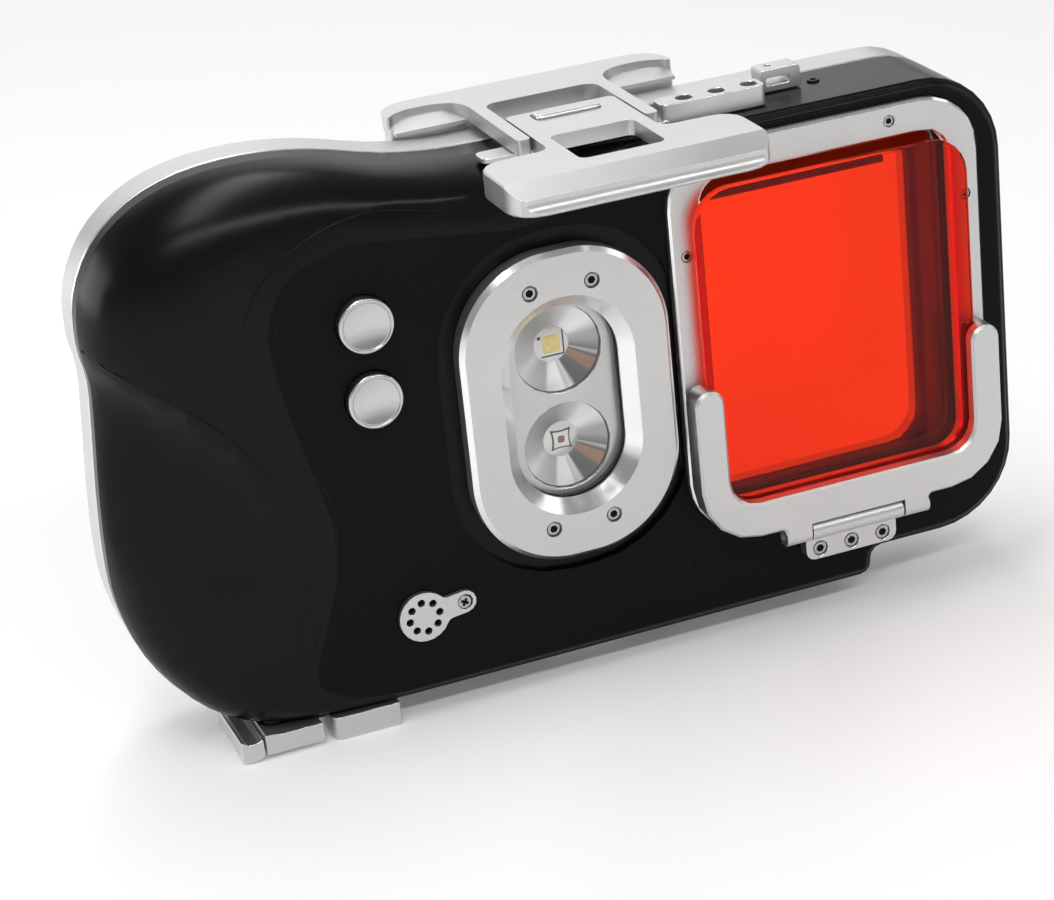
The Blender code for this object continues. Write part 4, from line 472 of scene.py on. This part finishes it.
def rounded_loop(shape, width, height, radius, y):
    """A loop of edges: a circle whose four quarters are moved apart into a rounded rectangle."""
    half_step = Matrix.Rotation(math.pi / RING_STEPS, 4, "Z")
    circle = bmesh.ops.create_circle(shape, segments=RING_STEPS, radius=radius * MM,
                                     matrix=half_step)["verts"]
    for vert in circle:
        across = vert.co.x + math.copysign((width / 2 - radius) * MM, vert.co.x)
        rise = vert.co.y + math.copysign((height / 2 - radius) * MM, vert.co.y)
        vert.co = (across, y * MM, rise)
    return list({edge for vert in circle for edge in vert.link_edges})


def ring_of_loops(name, node, x, z, steps, *finishes, bright):
    """Bridges rounded loops, each (width, height, radius, y), into a closed ring."""
    shape = bmesh.new()
    loops = [rounded_loop(shape, *step) for step in steps]
    for index, loop in enumerate(loops):
        following = loops[(index + 1) % len(loops)]
        for face in bmesh.ops.bridge_loops(shape, edges=[*loop, *following])["faces"]:
            face.material_index = 1 if index in bright else 0
            face.smooth = True
    bmesh.ops.remove_doubles(shape, verts=shape.verts, dist=0.0001 * MM)
    bmesh.ops.recalc_face_normals(shape, faces=shape.faces)
    bmesh.ops.translate(shape, verts=shape.verts, vec=Vector((x, 0, z)) * MM + DRAWING)
    return link_shape(name, shape, node, *finishes, sharp=RING_SHARP)


def drill(piece, centres, radius, depth, y):
    """Cuts counterbores into a piece's front and keeps the result as its mesh."""
    bits = bmesh.new()
    forward = Matrix.Rotation(math.pi / 2, 4, "X")
    for x, z in centres:
        place = Matrix.Translation(Vector((x, y, z)) * MM + DRAWING)
        bmesh.ops.create_cone(bits, cap_ends=True, segments=40, radius1=radius * MM,
                              radius2=radius * MM, depth=2 * depth * MM, matrix=place @ forward)
    data = bpy.data.meshes.new("drill_bits")
    bits.to_mesh(data)
    bits.free()
    cutter = bpy.data.objects.new("drill_bits", data)
    bpy.context.scene.collection.objects.link(cutter)
    cut = piece.modifiers.new("counterbores", "BOOLEAN")
    cut.object = cutter
    cut.solver = "EXACT"
    cut_piece = piece.evaluated_get(bpy.context.evaluated_depsgraph_get())
    drilled = bpy.data.meshes.new_from_object(cut_piece)
    piece.modifiers.clear()
    piece.data = drilled
    bpy.data.objects.remove(cutter)
    drilled.set_sharp_from_angle(angle=math.radians(RING_SHARP))
    return piece


# The loops run from the ring's outer edge over its front, down the bevel and round the back; no
# two neighbours share a plane across the opening, so that it stays open.
ring = ring_of_loops("lamp_ring", "lamp_bezel", LAMP_X, LAMP_Z, (
    (50.2, 74.0, 22.5, -0.9), (48.0, 71.8, 21.4, LAMP_FACE_Y), (32.3, 52.6, 16.15, LAMP_FACE_Y),
    (26.3, 46.6, 13.15, 1.0), (26.3, 46.6, 13.15, 1.5), (32.7, 53.0, 16.35, 1.6),
    (32.7, 53.0, 16.35, 2.9), (50.2, 74.0, 22.5, 3.0)), blasted, bright_edge, bright=(0, 2))
ring_screws = four_corners(LAMP_X, LAMP_Z, across=7.4, rise=28.6)
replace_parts(drill(ring, ring_screws, radius=1.9, depth=1.5, y=LAMP_FACE_Y), "lamp_bezel")
for index, (x, z) in enumerate(ring_screws):
    screw_head(f"lamp_ring_screw_{index + 1}", "lamp_bezel", (x, LAMP_FACE_Y + 0.3, z),
               radius=1.55, length=1.1, reach=0.55, turn=0.4 * index)
milled("lamp_seal_ring", "lamp_gasket", rubber, edge=0.15)
milled("lamp_pane", "lamp_window", clear_glass, edge=0.3)
milled("lamp_face_plate", "reflector_plate", blasted, bright_edge, edge=0.1)
solder_mask = worked("board_mask", (0.02, 0.12, 0.05), metallic=0.0, roughness=0.4,
                     skin=(600, 0.00003, 0.3), sheen=(120, 0.32, 0.5))
milled("lamp_board", "led_board", solder_mask, edge=0.1)
milled("lamp_heat_plate", "heat_spreader", blasted, bright_edge, edge=0.15)


# Mirror cups. Each is spun from thin aluminium and polished on the lathe, round a flat floor for
# the diode. The wedges of light and shade that run out from the middle are painted reflection:
# they lie in the mirror's colour, by the angle round its axis.
UPPER_CUP_Z, LOWER_CUP_Z = 80.7, 57.3
CUP_RIM_Y = 6.2
# Painted reflection: the greys and tints of the wedges, each at its share of a turn round the cup.
PAINTED_REFLECTION_AT_SEAM = 0.34
PAINTED_REFLECTION_GREYS = (
    (0.04, 0.42), (0.075, 0.80), (0.10, 0.98), (0.16, 0.98), (0.20, 0.75), (0.27, 0.52),
    (0.36, 0.46), (0.46, 0.55), (0.53, 0.55), (0.575, 0.75), (0.62, 0.62), (0.69, 0.60),
    (0.705, 0.98), (0.765, 0.98), (0.775, 0.60), (0.795, 0.80), (0.935, 0.07), (0.95, 0.50),
    (0.96, 0.14))
PAINTED_REFLECTION_TINTS = (
    (0.81, (0.09, 0.105, 0.11)), (0.87, (0.13, 0.145, 0.15)),
    (0.885, (0.40, 0.21, 0.14)), (0.925, (0.34, 0.19, 0.13)))


def painted_reflection_mirror(name, x, z):
    """A mirror whose tone goes by the angle round the cup's axis, as a share of a turn.

    The tone is painted reflection: wedges of light and shade.
    """
    made, tree, shader = node_material(name, (0.85, 0.85, 0.85), metallic=1.0, roughness=0.12)
    place = tree.nodes.new("ShaderNodeTexCoord")
    centred = tree.nodes.new("ShaderNodeMapping")
    centred.inputs["Location"].default_value = -(Vector((x, 0, z)) * MM + DRAWING)
    tree.links.new(place.outputs["Object"], centred.inputs["Vector"])
    split = tree.nodes.new("ShaderNodeSeparateXYZ")
    tree.links.new(centred.outputs[0], split.inputs[0])
    angle = math_node(tree, "ARCTAN2", split.outputs["Z"], split.outputs["X"])
    turns = math_node(tree, "MULTIPLY_ADD", angle, 0.5 / math.pi, 1.0)
    wedges = tree.nodes.new("ShaderNodeValToRGB")
    tree.links.new(math_node(tree, "FRACT", turns), wedges.inputs["Fac"])
    stops = wedges.color_ramp.elements
    stops[0].color = stops[1].color = (PAINTED_REFLECTION_AT_SEAM, PAINTED_REFLECTION_AT_SEAM, PAINTED_REFLECTION_AT_SEAM, 1)
    for position, grey in PAINTED_REFLECTION_GREYS:
        stops.new(position).color = (grey, grey, grey, 1)
    for position, tint in PAINTED_REFLECTION_TINTS:
        stops.new(position).color = (*tint, 1)
    tree.links.new(wedges.outputs["Color"], shader.inputs["Base Color"])
    rough_skin(tree, place, shader, scale=900, depth=0.00002, strength=0.2, detail=2.0)
    uneven_sheen(tree, place, shader, scale=260, low=0.3, high=0.4)
    return made


def turned(name, node, profile, place, finish, sharp=35):
    """Spins a profile of (radius, depth) pairs about an axis that points out of the front."""
    shape = bmesh.new()
    knots = [shape.verts.new((radius * MM, depth * MM, 0)) for radius, depth in profile]
    edges = [shape.edges.new(pair) for pair in zip(knots, knots[1:])]
    bmesh.ops.spin(shape, geom=[*knots, *edges], cent=(0, 0, 0), axis=(0, 1, 0),
                   angle=2 * math.pi, steps=96, use_merge=True)
    bmesh.ops.remove_doubles(shape, verts=shape.verts, dist=0.001 * MM)
    bmesh.ops.recalc_face_normals(shape, faces=shape.faces)
    for face in shape.faces:
        face.smooth = True
    bmesh.ops.translate(shape, verts=shape.verts, vec=Vector(place) * MM + DRAWING)
    return link_shape(name, shape, node, finish, sharp=sharp)


# The black ring at each cup's rim is painted shadow: it shows as the dark gap inside the face
# plate's hole.
cup_shade = worked("cup_rim_painted_shadow", (0.01, 0.01, 0.01), metallic=0.0, roughness=0.5,
                   specular=0.2, skin=(2500, 0.00002, 0.3), sheen=(300, 0.42, 0.6))
cup_floor = worked("cup_floor_plate", (0.72, 0.72, 0.71), metallic=1.0, roughness=0.38,
                   skin=(2500, 0.00002, 0.3), sheen=(300, 0.32, 0.45))
CUP_SHELL = (
    (4.3, 3.3), (10.15, 0.05), (10.3, 0.0), (11.2, 0.0), (11.25, 0.4), (11.2, 0.9), (4.6, 4.6),
    (4.2, 6.5), (3.5, 6.5), (3.5, 3.6), (4.3, 3.3))
CUP_FLOOR = ((0.001, 3.3), (4.2, 3.3), (4.3, 3.36), (4.2, 3.5), (0.001, 3.5))
CUP_BEAD = ((10.2, 0.04), (10.2, -0.12), (10.34, -0.18), (10.7, -0.18), (10.7, 0.04))
for name, z in (("upper", UPPER_CUP_Z), ("lower", LOWER_CUP_Z)):
    node = name + "_reflector"
    mirror = painted_reflection_mirror(name + "_painted_reflection_mirror", LAMP_X, z)
    cup = turned(name + "_cup", node, CUP_SHELL, (LAMP_X, CUP_RIM_Y + 0.02, z), mirror, sharp=25)
    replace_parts(cup, node)
    turned(name + "_cup_floor", node, CUP_FLOOR, (LAMP_X, CUP_RIM_Y, z), cup_floor)
    turned(name + "_cup_rim", node, CUP_BEAD, (LAMP_X, CUP_RIM_Y, z), cup_shade)


# Light-emitting diodes. The white one is a yellow square of phosphor in a pale ring; the red one
# is a tiny brown chip in a white package whose black frame curves in at its sides.
def die(name, node, place, size, finish, corner=0.0, pinch=0.0):
    """A small plate of (width, height, thickness) that faces forward.

    Its corners may be rounded, and its sides may curve in by a share of their length."""
    width, height, thick = size
    shape = bmesh.new()
    bmesh.ops.create_cube(shape, size=1.0)
    bmesh.ops.scale(shape, vec=Vector((width, thick, height)) * MM, verts=shape.verts)
    through = [edge for edge in shape.edges
               if abs(edge.verts[0].co.y - edge.verts[1].co.y) > 0.5 * thick * MM]
    if corner:
        bmesh.ops.bevel(shape, geom=through, offset=corner * MM, affect="EDGES", segments=4,
                        profile=0.5, material=-1)
    if pinch:
        around = [edge for edge in shape.edges if edge not in through]
        bmesh.ops.subdivide_edges(shape, edges=around, cuts=7, use_grid_fill=True)
        for vert in shape.verts:
            across, rise = 2 * vert.co.x / (width * MM), 2 * vert.co.z / (height * MM)
            vert.co.x *= 1 - pinch * (1 - rise * rise)
            vert.co.z *= 1 - pinch * (1 - across * across)
    bmesh.ops.translate(shape, verts=shape.verts, vec=Vector(place) * MM + DRAWING)
    piece = link_shape(name, shape, node, finish)
    soft = piece.modifiers.new("soft_edges", "BEVEL")
    soft.width = 0.06 * MM
    soft.segments = 2
    soft.harden_normals = True
    return piece


phosphor = worked("lamp_phosphor", (0.80, 0.62, 0.16), metallic=0.0, roughness=0.35,
                  skin=(2400, 0.00002, 0.3), sheen=(900, 0.28, 0.45),
                  tones=(900, (0.74, 0.55, 0.12), (0.86, 0.70, 0.24)))
ceramic = worked("white_ceramic", (0.78, 0.77, 0.73), metallic=0.0, roughness=0.4,
                 skin=(2400, 0.00002, 0.2), sheen=(900, 0.34, 0.5))
brown_chip = worked("red_lamp_chip", (0.20, 0.055, 0.03), metallic=0.0, roughness=0.3,
                    skin=(2400, 0.00002, 0.3), sheen=(900, 0.25, 0.4))

CHIP_Y, MOUNT_Y = 11.0, 9.38
DIODE_RING = ((0.001, 0.05), (4.0, 0.05), (4.1, 0.12), (4.1, 0.3), (0.001, 0.3))
white_chip = die("white_diode", "white_led", (-3.7, CHIP_Y, 80.8), (4.1, 4.1, 3.6), phosphor,
                 corner=0.25)
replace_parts(white_chip, "white_led")
turned("white_diode_ring", "white_led", DIODE_RING, (LAMP_X, 9.35, UPPER_CUP_Z), ceramic)
die("white_diode_side", "white_led", (-0.75, MOUNT_Y, 80.9), (0.34, 5.6, 0.16), shade)
die("white_diode_foot", "white_led", (-3.5, MOUNT_Y, 77.95), (5.5, 0.34, 0.16), shade)
die("white_diode_mark", "white_led", (-6.5, MOUNT_Y, 82.6), (0.8, 0.8, 0.16), shade, corner=0.3)
red_chip = die("red_diode", "red_led", (LAMP_X, CHIP_Y, LOWER_CUP_Z), (1.7, 1.7, 3.6), brown_chip,
               corner=0.5)
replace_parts(red_chip, "red_led")
die("red_diode_frame", "red_led", (LAMP_X, 9.45, LOWER_CUP_Z), (5.0, 5.0, 0.2), shade,
    pinch=0.15)
die("red_diode_package", "red_led", (LAMP_X, MOUNT_Y, LOWER_CUP_Z), (4.0, 4.0, 0.22), ceramic,
    pinch=0.1)


# Lamp buttons. Two turned caps with dished tops and bright narrow rims, each on a stem, with a
# hollow under the head for its return spring; a dark gap runs round them.
BUTTON_X, BUTTON_FACE_Y = -48.4, -0.6
BUTTON_DISH = (
    (0.001, 1.05), (1.0, 1.01), (2.0, 0.90), (3.0, 0.72), (4.0, 0.46), (4.8, 0.18), (5.25, 0.0))
BUTTON_RIM = (
    (5.35, 0.16), (5.5, 0.16), (5.6, -0.06), (5.75, -0.18), (5.95, -0.18), (6.15, -0.08),
    (6.3, 0.1), (6.38, 0.35))
BUTTON_SKIRT = ((6.38, 3.5), (6.2, 3.6), (5.0, 3.6), (4.9, 2.2))
BUTTON_STEM = ((2.0, 2.2), (2.0, 7.8), (1.8, 8.0), (0.001, 8.0))
BUTTON_CAP = BUTTON_DISH + BUTTON_RIM + BUTTON_SKIRT + BUTTON_STEM
satin_dish = worked("turned_dish", (0.58, 0.58, 0.575), metallic=1.0, roughness=0.26,
                    skin=(3000, 0.00002, 0.3), sheen=(120, 0.23, 0.31))
for tone, z in (("white", 98.2), ("red", 80.5)):
    node = tone + "_lamp_button"
    cap = turned(tone + "_lamp_cap", node, BUTTON_CAP, (BUTTON_X, BUTTON_FACE_Y, z), satin_dish,
                 sharp=50)
    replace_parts(cap, node)
    milled(tone + "_lamp_coil", node + "_spring", steel, edge=0, angle=60)


# Pressure sensor. A thin blasted guard with eight water holes over a rubber membrane, its arm
# held by one cross-head screw.
SENSOR_X, SENSOR_Z = -43.2, 25.9
ARM_REACH, ARM_RISE = 9.75, 1.27
milled("sensor_cover", "sensor_guard", blasted, bright_edge, edge=0.12)
milled("sensor_diaphragm", "sensor_membrane", rubber, edge=0.1)
screw_head("sensor_screw", "sensor_guard",
           (SENSOR_X + ARM_REACH, SUNK_HEAD_Y, SENSOR_Z + ARM_RISE),
           radius=1.6, length=1.3, reach=0.62, turn=0.5, key=cross)


# Flip-down filter. An orange plate in the groove of a U-shaped holder, which turns on a pin in
# a barrel hinge held to the casing by three socket screws.
HINGE_PITCH, HINGE_FACE_Y, HINGE_Z = 8.2, -1.75, 18.4
milled("filter_hinge_leaf", "filter_hinge_base", blasted, bright_edge, edge=0.15)
for index in (-1, 0, 1):
    screw_head(f"filter_hinge_screw_{index + 2}", "filter_hinge_base",
               (PORT_X + HINGE_PITCH * index, HINGE_FACE_Y, HINGE_Z),
               radius=1.65, length=0.75, reach=0.55, turn=0.5 + 0.4 * index)
milled("filter_hinge_axle", "filter_hinge_pin", steel, edge=0.1)
milled("filter_frame", "filter_holder", blasted, bright_edge, edge=0.3)
orange = clear_material("orange_filter_plate", (1.0, 0.035, 0.001), shadow=(0.95, 0.25, 0.08),
                        ior=1.25, gloss=0.3)
milled("filter_pane", "filter_plate", orange, edge=0.35, segments=3)


# Squeeze latch. A finger bar with a windowed tongue slides between the arms of a fork on the
# door, over a thin rail that carries three threaded holes for accessories.
milled("latch_front_bar", "latch_slider", blasted, bright_edge, edge=0.25, angle=24)
milled("latch_lock_pad", "lock_button", blasted, bright_edge, edge=0.1)
milled("latch_rear_fork", "latch_fork", blasted, bright_edge, edge=0.25, angle=24)
milled("latch_base_rail", "latch_rail", blasted, bright_edge, edge=0.12)
milled("lanyard_loop", "lanyard_bracket", blasted, bright_edge, edge=0.12)
screw_head("casing_top_screw", "front_casing", (69.6, 17.6, 125.95), radius=1.5, length=0.9,
           up=True, finish=black)


# Rear door. A blasted plate on a barrel hinge, with a clear window held by a black retainer, a
# rubber seal in its groove, and four turned buttons over a switch board.
milled("door_plate", "rear_door", blasted, bright_edge, edge=0.2)
milled("door_pane", "rear_window", clear_glass, edge=0.3)
milled("door_retainer", "window_retainer", black, edge=0.2)
milled("door_seal_ring", "door_seal", rubber, edge=0.1)
milled("door_switch_board", "rear_button_board", solder_mask, edge=0.1)
for index in range(1, 5):
    milled(f"door_button_{index}", f"rear_button_{index}", blasted, bright_edge, edge=0.12)
milled("door_hinge_plate", "door_hinge_leaf", blasted, bright_edge, edge=0.15)
milled("door_hinge_axle", "door_hinge_pin", steel, edge=0.1)


# Charging door. A small blasted block on a steel pin and its catch under the grip, with a thin
# rubber seal between the block and a metal socket.
milled("charge_hinge_body", "charge_hinge_block", blasted, bright_edge, edge=0.2)
milled("charge_flap", "charge_door", blasted, bright_edge, edge=0.2)
milled("charge_catch", "charge_latch", blasted, bright_edge, edge=0.2)
milled("charge_axle", "charge_door_pin", steel, edge=0.05)
milled("charge_flap_seal", "charge_door_seal", rubber, edge=0.05)
milled("charge_port", "charge_socket", steel, edge=0.15)


# Inside. A black moulded tray with a sliding clamp, both lined with rubber pads, fills the bay
# behind the port; the control board and the flat battery in its blue film lie in front of it.
milled("bay_tray", "phone_cradle", black, edge=0.2)
milled("bay_clamp", "cradle_clamp", black, edge=0.2)
milled("bay_lower_pad", "cradle_pad", rubber, edge=0.2)
milled("bay_upper_pad", "clamp_pad", rubber, edge=0.2)
milled("bay_control_board", "control_board", solder_mask, edge=0.1)
film = worked("battery_film", (0.05, 0.18, 0.4), metallic=0.0, roughness=0.35,
              skin=(90, 0.0002, 0.4), sheen=(60, 0.28, 0.42))
milled("bay_battery", "battery_pack", film, edge=0)


# Underside. Two moulded rubber feet pressed in along the bottom edge, and a turned steel bush
# with the thread for a tripod screw.
milled("foot_left", "left_foot", rubber, edge=0.3)
milled("foot_right", "right_foot", rubber, edge=0.3)
milled("tripod_insert", "tripod_bush", steel, edge=0.15)
